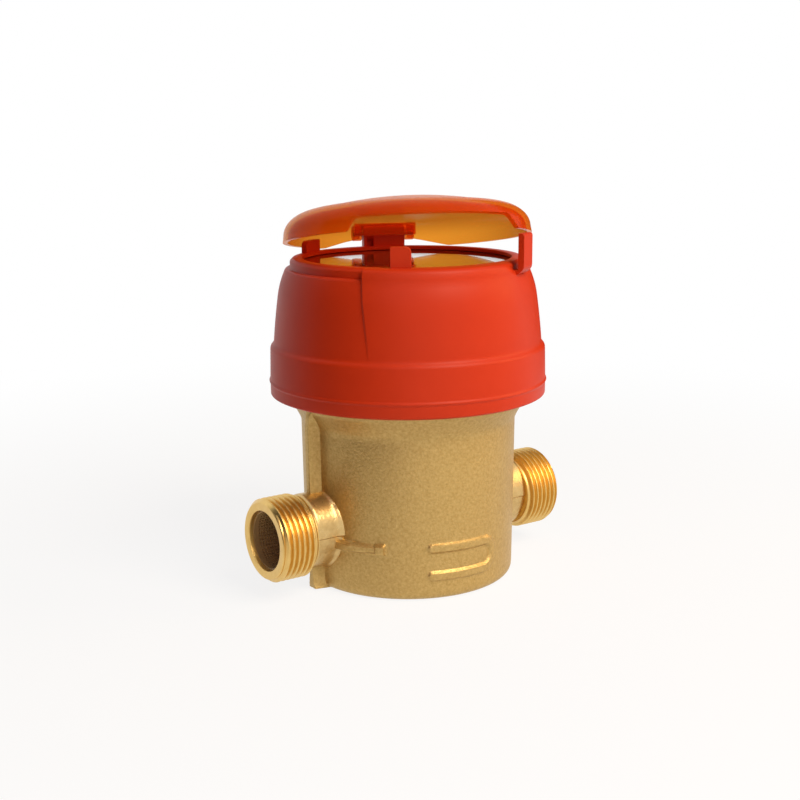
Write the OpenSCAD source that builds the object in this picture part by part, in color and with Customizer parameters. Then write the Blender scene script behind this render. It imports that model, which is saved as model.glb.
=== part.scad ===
// Inline volumetric water meter: cast brass body with two threaded ports, a rotary piston
// measuring chamber, a magnetically driven pointer register, a red shroud and a hinged lid.
// Millimetres. +X is the flow direction, +Z is up, the origin is the centre of the base.

/* [Ports] */
// Length between the two port faces
port_length = 110; // [104:1:130]
// Outer radius of the port threads
thread_r = 13.22; // [12.9:0.02:13.6]
// Length of each port thread
thread_len = 13; // [10:0.5:15]
// Height of the port axis above the base
port_z = 19.2; // [18:0.2:22]
// Radius of the port bores
port_bore_r = 9.4; // [8:0.1:10]
// Radius of the cast neck behind each thread
neck_r = 12.6; // [11.8:0.1:12.9]
// Setback of the lower half of the neck
neck_step = 0.7; // [0.3:0.1:1]

/* [Body] */
// Radius of the can under the flare
can_r = 34.7; // [34:0.1:36]
// Loss of radius from the flare down to the base
can_taper = 0.7; // [0:0.1:1.5]
// Thickness of the can's wall at the base
can_wall = 4.2; // [3.4:0.1:4.6]
// Thickness of the base
base_t = 5; // [4:0.5:7]
// Radius of the rounded base edge
base_edge = 2.6; // [1:0.1:4]
// Thickness of the shelf that carries the measuring chamber
shelf_t = 3; // [2:0.2:4]
// Width of the upright ribs in line with the ports
rib_w = 2.8; // [2:0.1:4]
// Distance that those ribs stand out from the can
rib_out = 3.6; // [2:0.1:5]
// Width of the raised bead of the flow mark
mark_w = 2; // [1:0.1:3]
// Height of the raised bead of the flow mark
mark_out = 0.9; // [0.4:0.1:1.5]

/* [Measuring chamber] */
// Inner radius of the measuring chamber
chamber_r = 22; // [20:0.2:23]
// Thickness of the chamber's wall, floor and lid
chamber_t = 2.4; // [2:0.1:3]
// Offset of the piston's centre from the chamber's axis
eccentricity = 4; // [3:0.1:4.5]
// Height of the rotary piston
piston_h = 14.8; // [12:0.2:18]
// Thickness of the piston's wall and web
piston_t = 2.4; // [1.8:0.1:3]
// Radius of the piston's drive peg
peg_r = 2; // [1.5:0.1:2.5]
// Thickness of the partition plate
partition_t = 1.5; // [1:0.1:2]
// Height of the rubber seal under the chamber
seal_t = 1.2; // [0.6:0.1:2]
// Radius of the round section of the seal under the pressure plate
plate_seal_r = 1.08; // [0.8:0.02:1.2]

/* [Magnetic drive] */
// Radius of the magnet carrier
carrier_r = 11; // [10:0.2:14]
// Thickness of the magnet carrier
carrier_t = 2.6; // [2:0.2:4]
// Height of the ring magnets
magnet_t = 2.4; // [1.6:0.2:3]
// Radius of the fixed stub that the carrier turns on
stub_r = 1.5; // [1.2:0.1:2]
// Thickness of the pressure plate
plate_t = 4; // [3:0.2:6]
// Height of the screwed clamp ring
clamp_t = 4; // [3:0.2:6]

/* [Register] */
// Outer radius of the register cup
cup_r = 34.6; // [34:0.1:35]
// Thickness of the cup's wall and floor
cup_t = 0.9; // [0.6:0.1:1.2]
// Thickness of the three frame plates
frame_t = 1.5; // [1:0.1:2]
// Height of the room for the magnet and first wheel
drive_room = 7.6; // [7:0.2:10]
// Module of the dial gears
dial_module = 0.4; // [0.38:0.005:0.41]
// Teeth on a dial pinion
pinion_teeth = 8; // [8:1:9]
// Teeth on a dial wheel
wheel_teeth = 80; // [70:10:80]
// Teeth on the pinion of the follower spindle
spindle_teeth = 10; // [10:1:12]
// Teeth on the first wheel
first_teeth = 50; // [40:1:52]
// Thickness of the gear wheels
wheel_t = 1.2; // [0.8:0.1:1.4]
// Distance between the levels of neighbouring dial wheels
level_pitch = 2.3; // [2.1:0.1:3]
// Radius of the arbors
arbor_r = 0.8; // [0.6:0.1:1]
// Thickness of the dial plate
dial_t = 0.8; // [0.5:0.1:1.5]
// Length of each pointer from its axis
pointer_len = 5.6; // [4:0.2:6.5]
// Height of the room for the pointers under the window
pointer_room = 4.9; // [3.6:0.2:6]
// Thickness of the window
window_t = 3; // [2:0.2:4]
// Thickness of the window's gasket
gasket_t = 0.6; // [0.4:0.1:1]

/* [Shroud] */
// Radius of the skirt at its bead
skirt_r = 44.75; // [44:0.05:46]
// Height of the skirt band
skirt_h = 15.9; // [12:0.1:18]
// Loss of radius at the shoulder above the skirt
shoulder_step = 1.2; // [0.6:0.1:2]
// Distance that the lip at the top of the dome stands out from the rim
lip_out = 2.8; // [2.3:0.1:3.6]
// Bulge of the dome between the shoulder and the lip
dome_bulge = 0.26; // [0:0.02:0.6]
// Thickness of the shroud's wall
shroud_t = 2.2; // [1.6:0.1:2.4]
// Distance that the rim reaches in over the edge of the window
rim_cover = 2.3; // [1.9:0.1:5]
// Height of the rim above the lip
rim_h = 3.3; // [2.6:0.1:4]
// Distance that the front panel stands out at its top
panel_out = 0.7; // [0.3:0.1:1.2]

/* [Lid] */
// Angle at which the lid stands open
lid_open = 10; // [2:0.2:60]
// Gap between the shroud's rim and the lid's skirt
lid_gap = 0.6; // [0.4:0.1:1]
// Height of the lid's skirt up to its rounded shoulder
lid_skirt_h = 2; // [1.6:0.1:3]
// Width of the lid's rounded shoulder
lid_shoulder_w = 11; // [8:0.2:13]
// Height of the lid's rounded shoulder
lid_shoulder_h = 7.7; // [7:0.1:9]
// Height of the crown above the shoulder
lid_crown = 3.2; // [2:0.1:5]
// Thickness of the lid
lid_t = 1.5; // [1.2:0.1:1.6]
// Radius of the hinge pin
pin_r = 1.1; // [0.8:0.1:1.3]
// Width of the hinge tower on the shroud
tower_w = 14.2; // [10:0.2:18]
// Width of each hinge leg of the lid
leg_w = 3; // [2:0.1:4]

/* [Clearances] */
// Radial gap of every shaft in its hole
run_gap = 0.05; // [0.02:0.01:0.1]
// Gap between pieces that seat in one another
seat_gap = 0.1; // [0.05:0.01:0.2]
// Gap between pieces that sweep past one another
sweep_gap = 0.4; // [0.3:0.05:0.6]

/* [Hidden] */
$fn = 96;
cut = 1;

// Directions round the axis, from +X
hinge_a = 67.3;
front_tab_a = 231.3;
side_tab_a = 296;
back_tab_a = 119;
panel_from = 215;
panel_to = 291;
mark_a = 265.6;
lid_cut_a = 250.5;

// Heights of the body's inside
pocket_top = port_z + port_bore_r + 1.4;
shelf_top = pocket_top + shelf_t;
chamber_z = shelf_top + seal_t;
piston_z = chamber_z + chamber_t + seat_gap;
chamber_lid_z = piston_z + piston_h + seat_gap;
chamber_top = chamber_lid_z + chamber_t;
carrier_z = chamber_top + 1;
seat_z = carrier_z + carrier_t + magnet_t + 1;
clamp_z = seat_z + plate_t;
body_top = clamp_z + clamp_t;

// Radii of the body
base_r = can_r - can_taper;
cavity_r = base_r - can_wall;
collar_r = can_r + 3.2;
flange_r = collar_r + 2;
plate_r = cavity_r + 5;
web_x = -9;
web_t = 3;
drain_r = 6;
feed_r = 2;
feed_ring_r = cavity_r - 2.6;
lip_t = 1.6;
flange_z = seat_z + 0.5;
flange_h = 5.5;
shroud_z = flange_z - sweep_gap - lip_t;
flare_z = shroud_z - 6;
flare_h = 4.2;
thread_x = port_length / 2 - thread_len;

// Measuring chamber and magnets
inner_ring_r = chamber_r - 2 * eccentricity - piston_t - 2 * run_gap;
piston_r = chamber_r - eccentricity - run_gap;
slot_w = partition_t + 2 * eccentricity + 2 * sweep_gap;
magnet_in = 5;
magnet_out = 8.4;

// Register levels and the ring of dial arbors
dial_count = 5;
cup_z = body_top + seat_gap;
low_plate_z = cup_z + cup_t;
bridge_z = low_plate_z + frame_t + drive_room;
top_plate_z = bridge_z + frame_t + (dial_count - 1) * level_pitch + 0.6;
dial_z = top_plate_z + frame_t + 1;
pointer_z = dial_z + dial_t + 0.6;
cup_top = dial_z + dial_t + pointer_room;
window_z = cup_top + gasket_t;
window_top = window_z + window_t;
dial_gap = dial_module * (pinion_teeth + wheel_teeth) / 2;
arbor_ring_r = dial_gap / (2 * sin(180 / dial_count));
drive_module = 2 * arbor_ring_r / (spindle_teeth + first_teeth);
pressure_angle = 30;
tooth_add = 0.8;
tooth_ded = 1;
backlash = 0.1;
pillar_r = 2.1;
pillar_ring_r = cup_r - cup_t - pillar_r - 0.3;
pillar_places = [0, 2, 4];
pillar_step = 0.4;
cup_lip_r = cup_r + 0.9;

// Shroud and hinge
rim_t = 1.2;
rim_z = window_top + seat_gap + rim_t;
lip_z = rim_z - rim_h;
rim_r = cup_lip_r + 1.8;
rim_edge = 1;
view_r = cup_lip_r - rim_cover;
lip_r = rim_r + lip_out;
shoulder_z = shroud_z + skirt_h;
dome_z = shoulder_z + 2;
dome_r = skirt_r - 0.65 - shoulder_step;
hinge_r = rim_r - 0.1;
hinge_z = rim_z + 4.3;
knuckle_r = 2.9;
lid_z = rim_z - rim_edge;
lid_in = rim_r + lid_gap;
lid_r = lid_in + lid_t;
lid_edge = lid_r - 0.3 - lid_shoulder_w;
leg_gap = tower_w / 2 + 0.5;
tab_t = 2;
tab_in = rim_r - tab_t - 1.3;
tab_top = lid_z + lid_at(tab_in + tab_t) - 1.4 * lid_t - sweep_gap;

// Point at a radius and an angle
function polar(r, a) = [r * cos(a), r * sin(a)];

// Points of an arc about a centre
function arc(c, r, from, to, n = 8) = [for (i = [0 : n]) c + polar(r, from + (to - from) * i / n)];

// Involute function of an angle in degrees
function inv(a) = tan(a) * 180 / PI - a;

// Half the angle that a tooth takes at a radius
function tooth_half(r, pitch_r, base, m) =
    (PI * m / 2 - backlash) / (2 * pitch_r) * 180 / PI + inv(pressure_angle) - inv(acos(base / r));

// Outline of a spur gear with a tooth centred on the X axis
function gear(teeth, m, steps) =
    let (
        pitch_r = teeth * m / 2,
        base = pitch_r * cos(pressure_angle),
        root = pitch_r - tooth_ded * m,
        tip = pitch_r + tooth_add * m,
        low = max(root, base),
        flank = [for (i = [0 : steps]) low + (tip - low) * i / steps],
        half = [for (r = flank) tooth_half(r, pitch_r, base, m)]
    )
    [for (t = [0 : teeth - 1]) let (c = t * 360 / teeth) each concat(
        [polar(root, c - half[0])],
        [for (i = [0 : steps]) if (flank[i] > root) polar(flank[i], c - half[i])],
        [for (i = [steps : -1 : 0]) if (flank[i] > root) polar(flank[i], c + half[i])],
        [polar(root, c + half[0])]
    )];

// Angle and place of each dial arbor, counted from zero
function arbor_a(i) = 90 + 360 / dial_count * i;
function arbor_p(i) = polar(arbor_ring_r, arbor_a(i));

// Direction from one dial arbor to another
function toward(i, j) = let (d = arbor_p(j) - arbor_p(i)) atan2(d.y, d.x);

// Bottom of the wheel on a dial arbor
function level(i) = bridge_z + frame_t + 0.4 + (i - 1) * level_pitch;

// Outer radius of the dome at a height
function dome_at(z) =
    let (s = (z - dome_z) / (lip_z - 0.8 - dome_z))
    dome_r + (lip_r - dome_r) * s + 4 * dome_bulge * s * (1 - s);

// Height of the lid's outer face above its edge, at a radius in its shoulder
function lid_at(r) = lid_skirt_h + lid_shoulder_h * sqrt(1 - pow((r - lid_edge) / lid_shoulder_w, 2));

// Quarter ellipse round a centre, from the outside to the top
function quarter(c, w, h, n = 10) = [for (i = [0 : n]) c + [w * cos(90 * i / n), h * sin(90 * i / n)]];

// Sector of a solid of revolution
module sector(from, to) {
    rotate([0, 0, from])
        rotate_extrude(angle = to - from)
            children();
}

// Ring with flat ends
module ring(outer, inner, h) {
    difference() {
        cylinder(r = outer, h = h);
        translate([0, 0, -cut])
            cylinder(r = inner, h = h + 2 * cut);
    }
}

// Cylinder along +X
module rod_x(r, from, to) {
    translate([from, 0, 0])
        rotate([0, 90, 0])
            cylinder(r = r, h = to - from);
}

// Frame with X outwards through the hinge and its origin on the hinge axis
module at_hinge() {
    translate(concat(polar(hinge_r, hinge_a), hinge_z))
        rotate([0, 0, hinge_a])
            children();
}

// Lid at the angle at which it stands open
module lid_turned() {
    at_hinge()
        rotate([0, lid_open, 0])
            rotate([0, 0, -hinge_a])
                translate(-concat(polar(hinge_r, hinge_a), hinge_z))
                    children();
}

// Half of the outline of the turned body
module body_outline() {
    polygon(concat(
        [[0, 0]],
        arc([base_r - base_edge, base_edge], base_edge, -90, 0),
        [[can_r, flare_z]],
        [for (i = [1 : 6]) [
            can_r + (collar_r - can_r) * (1 - cos(15 * i)),
            flare_z + flare_h * sin(15 * i)
        ]],
        [
            [collar_r, flange_z], [flange_r, flange_z],
            [flange_r, flange_z + flange_h], [flange_r - 1.2, body_top], [0, body_top]
        ]
    ));
}

// One port with its cast neck and the plain cylinder of its thread
module port() {
    translate([0, 0, port_z]) {
        rod_x(neck_r - neck_step, cavity_r, thread_x);
        intersection() {
            rod_x(neck_r, cavity_r, thread_x);
            translate([0, -neck_r, -2])
                cube([port_length, 2 * neck_r, 2 * neck_r]);
        }
        rod_x(neck_r - neck_step - 0.4, cavity_r, thread_x + 1.6);
        rod_x(thread_r, thread_x + 1.6, port_length / 2 - 1.4);
        translate([port_length / 2 - 1.4, 0, 0])
            rotate([0, 90, 0])
                cylinder(r1 = thread_r, r2 = thread_r - 1.3, h = 1.4);
    }
}

// Upright rib over and under a port, with sloped ends
module port_rib() {
    low = 0.1;
    high = flare_z + 3;
    out = base_r + rib_out;
    rotate([90, 0, 0])
        translate([0, 0, -rib_w / 2])
            linear_extrude(rib_w)
                polygon([
                    [cavity_r + cut, low], [out - 0.6, low], [out, low + 0.6],
                    [out, high - 5], [can_r, high], [cavity_r + cut, high]
                ]);
}

// Raised sideways U that points downstream
module flow_mark() {
    long = 23.5;
    tall = 9.2 + mark_w;
    middle = port_z - 6.2;
    rotate([0, 0, mark_a + 90])
        intersection() {
            translate([0, 0, middle])
                rotate([90, 0, 0])
                    linear_extrude(can_r + 5)
                        difference() {
                            flow_outline(long, tall);
                            translate([-mark_w, 0])
                                flow_outline(long, tall - 2 * mark_w);
                        }
            ring(base_r + mark_out, cavity_r + cut, flare_z);
        }
}

// Bar with one round end
module flow_outline(long, tall) {
    translate([-long / 2, -tall / 2])
        square([long - tall / 2, tall]);
    translate([long / 2 - tall / 2, 0])
        circle(d = tall);
}

// Cast seam beside the inlet neck, with a square nub at its end
module seam_rib() {
    translate([0, 0, port_z - 3.8])
        intersection() {
            sector(188, 219)
                translate([cavity_r + cut, 0])
                    square([base_r + 1.2 - cavity_r - cut, 2.2]);
            cylinder(r = can_r + 2, h = 3);
        }
    rotate([0, 0, 219.5])
        translate([base_r - 3, -1.5, port_z - 4.2])
            cube([4.6, 3, 3.4]);
}

module body() {
    color("#b08c46")
        difference() {
            union() {
                rotate_extrude()
                    body_outline();
                for (side = [0, 180]) {
                    rotate([0, 0, side]) {
                        port();
                        port_rib();
                    }
                }
                flow_mark();
                seam_rib();
            }
            body_hollows();
        }
}

// Two pockets under the shelf, the chamber space over it and the port bores
module body_hollows() {
    difference() {
        translate([0, 0, base_t])
            cylinder(r = cavity_r, h = pocket_top - base_t);
        translate([web_x - web_t, -cavity_r - cut, 0])
            cube([web_t, 2 * (cavity_r + cut), pocket_top + cut]);
    }
    translate([0, 0, shelf_top])
        cylinder(r = cavity_r, h = body_top);
    translate([0, 0, seat_z])
        cylinder(r = plate_r, h = body_top);
    translate([0, 0, pocket_top - cut])
        cylinder(r = drain_r, h = shelf_t + 2 * cut);
    for (a = [140 : 20 : 220])
        translate(concat(polar(feed_ring_r, a), pocket_top - cut))
            cylinder(r = feed_r, h = shelf_t + 2 * cut);
    translate([0, 0, port_z]) {
        rod_x(port_bore_r, cavity_r - 3, port_length / 2 + cut);
        rod_x(port_bore_r, -port_length / 2 - cut, -cavity_r + 3);
    }
}

// Basket that stands in the inlet bore, open towards the pipe
module inlet_strainer() {
    mouth = -port_length / 2 + 1.5;
    depth = port_length / 2 - cavity_r - 4;
    wall = 0.9;
    outer = port_bore_r - seat_gap;
    rows = 4;
    columns = 10;
    row_h = (depth - 5) / rows;
    color("#2e2620")
        translate([mouth, 0, port_z])
            rotate([0, 90, 0])
                difference() {
                    cylinder(r = outer, h = depth);
                    translate([0, 0, -cut])
                        cylinder(r = outer - wall, h = depth - wall + cut);
                    for (k = [0 : rows - 1], c = [0 : columns - 1])
                        rotate([0, 0, 360 / columns * c])
                            translate([0, -1.8, 3.4 + row_h * k])
                                cube([outer + cut, 3.6, row_h - 1]);
                }
}

module chamber_seal() {
    color("#262626")
        translate([0, 0, shelf_top])
            ring(drain_r + 4, drain_r + 1, seal_t);
}

// Cup with an inner ring, a drain port and a groove for the partition plate
module measuring_chamber() {
    color("#e8e2d2")
        difference() {
            translate([0, 0, chamber_z])
                union() {
                    ring(chamber_r + chamber_t, chamber_r, chamber_lid_z - chamber_z);
                    cylinder(r = chamber_r + chamber_t, h = chamber_t);
                    ring(inner_ring_r, inner_ring_r - chamber_t,
                        piston_z + piston_h - piston_t - seat_gap - chamber_z);
                }
            translate([0, 0, chamber_z - cut])
                cylinder(r = drain_r, h = chamber_t + 2 * cut);
            translate([-partition_t / 2 - seat_gap, chamber_r - cut, chamber_z + chamber_t])
                cube([partition_t + 2 * seat_gap, cut + chamber_t / 2, piston_h + cut]);
        }
}

// Fixed wall across the chamber, between the inner ring and the chamber's wall
module partition_plate() {
    color("#b9bcc0")
        intersection() {
            translate([-partition_t / 2, 0, chamber_z + chamber_t])
                cube([partition_t, chamber_r + chamber_t / 2 - seat_gap, piston_h]);
            ring(chamber_r + chamber_t, inner_ring_r + seat_gap, body_top);
        }
}

// Slotted cup whose centre runs round the chamber's axis, with its drive peg
module rotary_piston() {
    color("#3a3f46")
        translate([eccentricity, 0, piston_z])
            difference() {
                union() {
                    ring(piston_r, piston_r - piston_t, piston_h);
                    translate([0, 0, piston_h - piston_t])
                        cylinder(r = piston_r, h = piston_t);
                    cylinder(r = peg_r + 1, h = piston_h);
                    cylinder(r = peg_r, h = carrier_z + carrier_t - piston_z - seat_gap);
                }
                translate([-slot_w / 2, inner_ring_r - eccentricity - sweep_gap, -cut])
                    cube([slot_w, piston_r, piston_h + 2 * cut]);
            }
}

// Plate over the chamber with a round way for the peg and two feed ports
module chamber_lid() {
    color("#d9d2bf")
        translate([0, 0, chamber_lid_z])
            difference() {
                cylinder(r = chamber_r + chamber_t, h = chamber_t);
                translate([0, 0, -cut])
                    cylinder(r = eccentricity + peg_r + sweep_gap, h = chamber_t + 2 * cut);
                for (a = [60, 120])
                    rotate([0, 0, a])
                        translate([chamber_r - 3.6, 0, -cut])
                            cylinder(r = 2.6, h = chamber_t + 2 * cut);
            }
}

// Turning disc on the fixed stub, with the crank hole for the piston's peg
module magnet_carrier() {
    color("#4a4f57")
        translate([0, 0, carrier_z])
            difference() {
                union() {
                    cylinder(r = carrier_r, h = carrier_t);
                    cylinder(r = magnet_in - seat_gap, h = carrier_t + magnet_t * 0.6);
                }
                translate([0, 0, 0.6])
                    cylinder(r = stub_r + run_gap, h = body_top);
                translate([eccentricity, 0, -cut])
                    cylinder(r = peg_r + run_gap, h = carrier_t + cut);
            }
}

// Ring magnet of the drive or of the register
module magnet_ring(z) {
    color("#5b5754")
        translate([0, 0, z])
            ring(magnet_out, magnet_in, magnet_t);
}

module drive_magnet() {
    magnet_ring(carrier_z + carrier_t);
}

// Plate that closes the wet side, with the stub for the carrier
module pressure_plate() {
    color("#a9a49a")
        union() {
            translate([0, 0, seat_z])
                cylinder(r = plate_r - seat_gap, h = plate_t);
            translate([0, 0, carrier_z + 0.6 + seat_gap])
                cylinder(r = stub_r, h = seat_z - carrier_z);
            translate([0, 0, seat_z - 0.6])
                cylinder(r = stub_r + 2.2, h = 1);
            translate([0, 0, chamber_top])
                ring(chamber_r + chamber_t, chamber_r + 0.4, seat_z - chamber_top + 0.2);
        }
}

// Rubber ring in the corner under the pressure plate
module plate_seal() {
    color("#1f1f1f")
        translate([0, 0, seat_z - plate_seal_r])
            rotate_extrude()
                translate([cavity_r - plate_seal_r, 0])
                    circle(r = plate_seal_r, $fn = 24);
}

// Screwed ring that holds the pressure plate down, with four key slots
module clamp_ring() {
    color("#c2a055")
        translate([0, 0, clamp_z])
            difference() {
                ring(plate_r - seat_gap, plate_r - 7, clamp_t);
                for (a = [45 : 90 : 315])
                    rotate([0, 0, a])
                        translate([plate_r - 8, -2, clamp_t - 1.6])
                            cube([4, 4, clamp_t]);
            }
}

// Deep-drawn cup with a turned-out lip that the window sits on
module register_cup() {
    color("#b87347")
        translate([0, 0, cup_z])
            rotate_extrude()
                polygon([
                    [0, 0], [cup_r - 1, 0], [cup_r, 1], [cup_r, cup_top - cup_z - cup_t],
                    [cup_lip_r, cup_top - cup_z - cup_t], [cup_lip_r, cup_top - cup_z],
                    [cup_r - cup_t, cup_top - cup_z], [cup_r - cup_t, cup_t], [0, cup_t]
                ]);
}

// Round plate with holes for the pillars and for a list of arbors
module plate(z, t, step, holes) {
    translate([0, 0, z])
        difference() {
            cylinder(r = cup_r - cup_t - 0.2, h = t);
            for (i = pillar_places)
                rotate([0, 0, arbor_a(i) + 180 / dial_count])
                    translate([pillar_ring_r, 0, -cut])
                        cylinder(r = pillar_r - step * pillar_step + run_gap, h = t + 2 * cut);
            for (i = holes)
                translate(concat(arbor_p(i), -cut))
                    cylinder(r = arbor_r + run_gap, h = t + 2 * cut);
        }
}

// Bottom frame plate with the foot bearing of the spindle and of the first arbor
module low_plate() {
    color("#d8d4c8")
        difference() {
            plate(low_plate_z, frame_t, 1, [0]);
            translate([0, 0, low_plate_z + 0.4])
                cylinder(r = arbor_r + run_gap, h = frame_t);
        }
}

// Middle frame plate over the magnet
module bridge_plate() {
    color("#d8d4c8")
        difference() {
            plate(bridge_z, frame_t, 1, [for (i = [0 : dial_count - 1]) i]);
            translate([0, 0, bridge_z - cut])
                cylinder(r = arbor_r + run_gap, h = frame_t + cut - 0.3);
        }
}

module top_plate() {
    color("#d8d4c8")
        plate(top_plate_z, frame_t, 2, [for (i = [0 : dial_count - 1]) i]);
}

// White dial with a raised rim round each small dial
module dial_plate() {
    color("#f4f3ee") {
        plate(dial_z, dial_t, 3, [for (i = [0 : dial_count - 1]) i]);
        for (i = [0 : dial_count - 1])
            translate(concat(arbor_p(i), dial_z + dial_t - 0.1))
                ring(pointer_len + 1.6, pointer_len + 1.1, 0.35);
    }
}

// Stepped pillars, each shoulder under one plate
module frame_pillars() {
    color("#a8aab0")
        for (i = pillar_places)
            rotate([0, 0, arbor_a(i) + 180 / dial_count])
                translate([pillar_ring_r, 0, 0])
                    pillar();
}

module pillar() {
    foot = low_plate_z + frame_t;
    translate([0, 0, low_plate_z])
        cylinder(r = pillar_r - pillar_step, h = top_plate_z - low_plate_z, $fn = 24);
    translate([0, 0, foot])
        cylinder(r = pillar_r, h = bridge_z - foot, $fn = 24);
    translate([0, 0, top_plate_z - cut])
        cylinder(r = pillar_r - 2 * pillar_step, h = dial_z - top_plate_z + cut, $fn = 24);
    translate([0, 0, dial_z - cut])
        cylinder(r = pillar_r - 3 * pillar_step, h = dial_t + cut, $fn = 24);
}

// Vertical shaft that the register's magnet turns, with the first pinion
module follower_spindle() {
    disc_z = low_plate_z + frame_t + 0.3;
    gear_z = disc_z + carrier_t * 0.5 + magnet_t + 0.3;
    color("#6b7078") {
        translate([0, 0, low_plate_z + 0.5])
            cylinder(r = arbor_r, h = bridge_z + frame_t - 0.5 - low_plate_z - 0.5);
        translate([0, 0, disc_z])
            cylinder(r = carrier_r, h = carrier_t * 0.5);
        translate([0, 0, disc_z])
            cylinder(r = magnet_in - seat_gap, h = gear_z - disc_z);
        translate([0, 0, gear_z])
            rotate([0, 0, arbor_a(0)])
                linear_extrude(bridge_z - gear_z - 0.2)
                    polygon(gear(spindle_teeth, drive_module, 3));
    }
}

module follower_magnet() {
    magnet_ring(low_plate_z + frame_t + 0.3 + carrier_t * 0.5);
}

// Moulded arbor of one dial: its wheel, and the pinion that drives the next dial
module dial_arbor(i) {
    foot = i == 0 ? low_plate_z + 0.2 : bridge_z + 0.2;
    next = (i + 1) % dial_count;
    translate(arbor_p(i)) {
        translate([0, 0, foot])
            cylinder(r = arbor_r, h = pointer_z + 1 - foot, $fn = 24);
        if (i == 0)
            translate([0, 0, bridge_z - 0.3 - wheel_t])
                first_wheel();
        else
            translate([0, 0, level(i)])
                rotate([0, 0, toward(i, i - 1) + 180 / wheel_teeth])
                    linear_extrude(wheel_t)
                        difference() {
                            polygon(gear(wheel_teeth, dial_module, 1));
                            wheel_windows(wheel_teeth * dial_module / 2);
                        }
        if (i < dial_count - 1)
            translate([0, 0, level(next) - 0.3])
                rotate([0, 0, toward(i, next)])
                    linear_extrude(wheel_t + 0.6)
                        polygon(gear(pinion_teeth, dial_module, 3));
        collar();
    }
}

// Collars that keep an arbor between the bridge and the top plate
module collar() {
    low = bridge_z + frame_t + seat_gap;
    high = top_plate_z - seat_gap;
    translate([0, 0, low])
        cylinder(r = arbor_r + 0.3, h = 0.4);
    translate([0, 0, high - 0.3])
        cylinder(r = arbor_r + 0.3, h = 0.3);
}

module first_wheel() {
    linear_extrude(wheel_t)
        difference() {
            rotate(arbor_a(0) + 180 + 180 / first_teeth)
                polygon(gear(first_teeth, drive_module, 1));
            wheel_windows(first_teeth * drive_module / 2);
        }
}

// Five round windows that lighten a wheel
module wheel_windows(pitch_r) {
    for (a = [0 : 72 : 288])
        translate(polar(pitch_r * 0.55, a))
            circle(r = pitch_r * 0.2, $fn = 32);
}

module dial_arbor_1() {
    color("#c8b27a")
        dial_arbor(0);
}

module dial_arbor_2() {
    color("#c8b27a")
        dial_arbor(1);
}

module dial_arbor_3() {
    color("#c8b27a")
        dial_arbor(2);
}

module dial_arbor_4() {
    color("#c8b27a")
        dial_arbor(3);
}

module dial_arbor_5() {
    color("#c8b27a")
        dial_arbor(4);
}

// Pointer with a hub on the arbor, a tapered needle and a short tail
module pointer(i, start) {
    hub = 1.7;
    translate(concat(arbor_p(i), pointer_z))
        rotate([0, 0, start])
            difference() {
                union() {
                    cylinder(r = hub, h = 1.3);
                    linear_extrude(0.7)
                        polygon([
                            [-2.4, -0.7], [0, -1.2], [pointer_len, -0.15],
                            [pointer_len, 0.15], [0, 1.2], [-2.4, 0.7]
                        ]);
                }
                translate([0, 0, -cut])
                    cylinder(r = arbor_r + run_gap / 2, h = 1 + cut + seat_gap);
            }
}

module pointer_1() {
    color("#c8202a")
        pointer(0, 40);
}

module pointer_2() {
    color("#c8202a")
        pointer(1, 160);
}

module pointer_3() {
    color("#c8202a")
        pointer(2, 250);
}

module pointer_4() {
    color("#222222")
        pointer(3, 20);
}

module pointer_5() {
    color("#222222")
        pointer(4, 95);
}

module window_gasket() {
    color("#2b2b2b")
        translate([0, 0, cup_top])
            ring(cup_lip_r, cup_r - 2, gasket_t);
}

// Clear window with a bevelled upper edge
module window() {
    color("#dfeef2", 0.4)
        translate([0, 0, window_z])
            rotate_extrude()
                polygon([
                    [0, 0], [cup_lip_r, 0], [cup_lip_r, window_t - 0.4],
                    [cup_lip_r - 0.4, window_t], [0, window_t]
                ]);
}

// Half section of the shroud's wall, from the snap lip up to the rim over the window
module shroud_section() {
    low_in = collar_r + sweep_gap;
    skirt_in = flange_r + sweep_gap + 1.6;
    polygon(concat(
        [
            [low_in, shroud_z], [skirt_r - 2, shroud_z], [skirt_r - 0.45, shroud_z + 0.7],
            [skirt_r - 0.4, shroud_z + 4], [skirt_r, shroud_z + 5], [skirt_r - 0.4, shroud_z + 6],
            [skirt_r - 0.65, shoulder_z]
        ],
        [for (i = [0 : 10]) let (z = dome_z + (lip_z - 0.8 - dome_z) * i / 10) [dome_at(z), z]],
        [
            [lip_r - 0.3, lip_z], [rim_r, lip_z], [rim_r, rim_z - rim_edge],
            [rim_r - rim_edge, rim_z], [view_r, rim_z], [view_r, rim_z - rim_t],
            [cup_lip_r + seat_gap, rim_z - rim_t], [cup_lip_r + seat_gap, cup_top - 3]
        ],
        [for (i = [0 : 4]) let (z = cup_top - 6 - (cup_top - 6 - dome_z) * i / 4)
            [dome_at(z) - shroud_t, z]],
        [
            [skirt_in, shoulder_z - 2], [skirt_in, shroud_z + lip_t], [low_in, shroud_z + lip_t]
        ]
    ));
}

// Raised panel at the front, which grows out of the dome towards the rim
module shroud_panel() {
    foot_z = dome_z + 0.4 * (lip_z - dome_z);
    inner = rim_r - rim_edge - 0.4;
    sector(panel_from, panel_to)
        polygon(concat(
            [[dome_at(foot_z) - 1, foot_z]],
            [for (i = [0 : 6]) let (z = foot_z + (lip_z - 0.8 - foot_z) * i / 6)
                [dome_at(z) + panel_out * i / 6, z]],
            arc([lip_r + panel_out - 2.6, rim_z - 2.4], 2.4, 0, 90, 6),
            [[inner, rim_z], [inner, lip_z - 2.5]]
        ));
}

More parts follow.
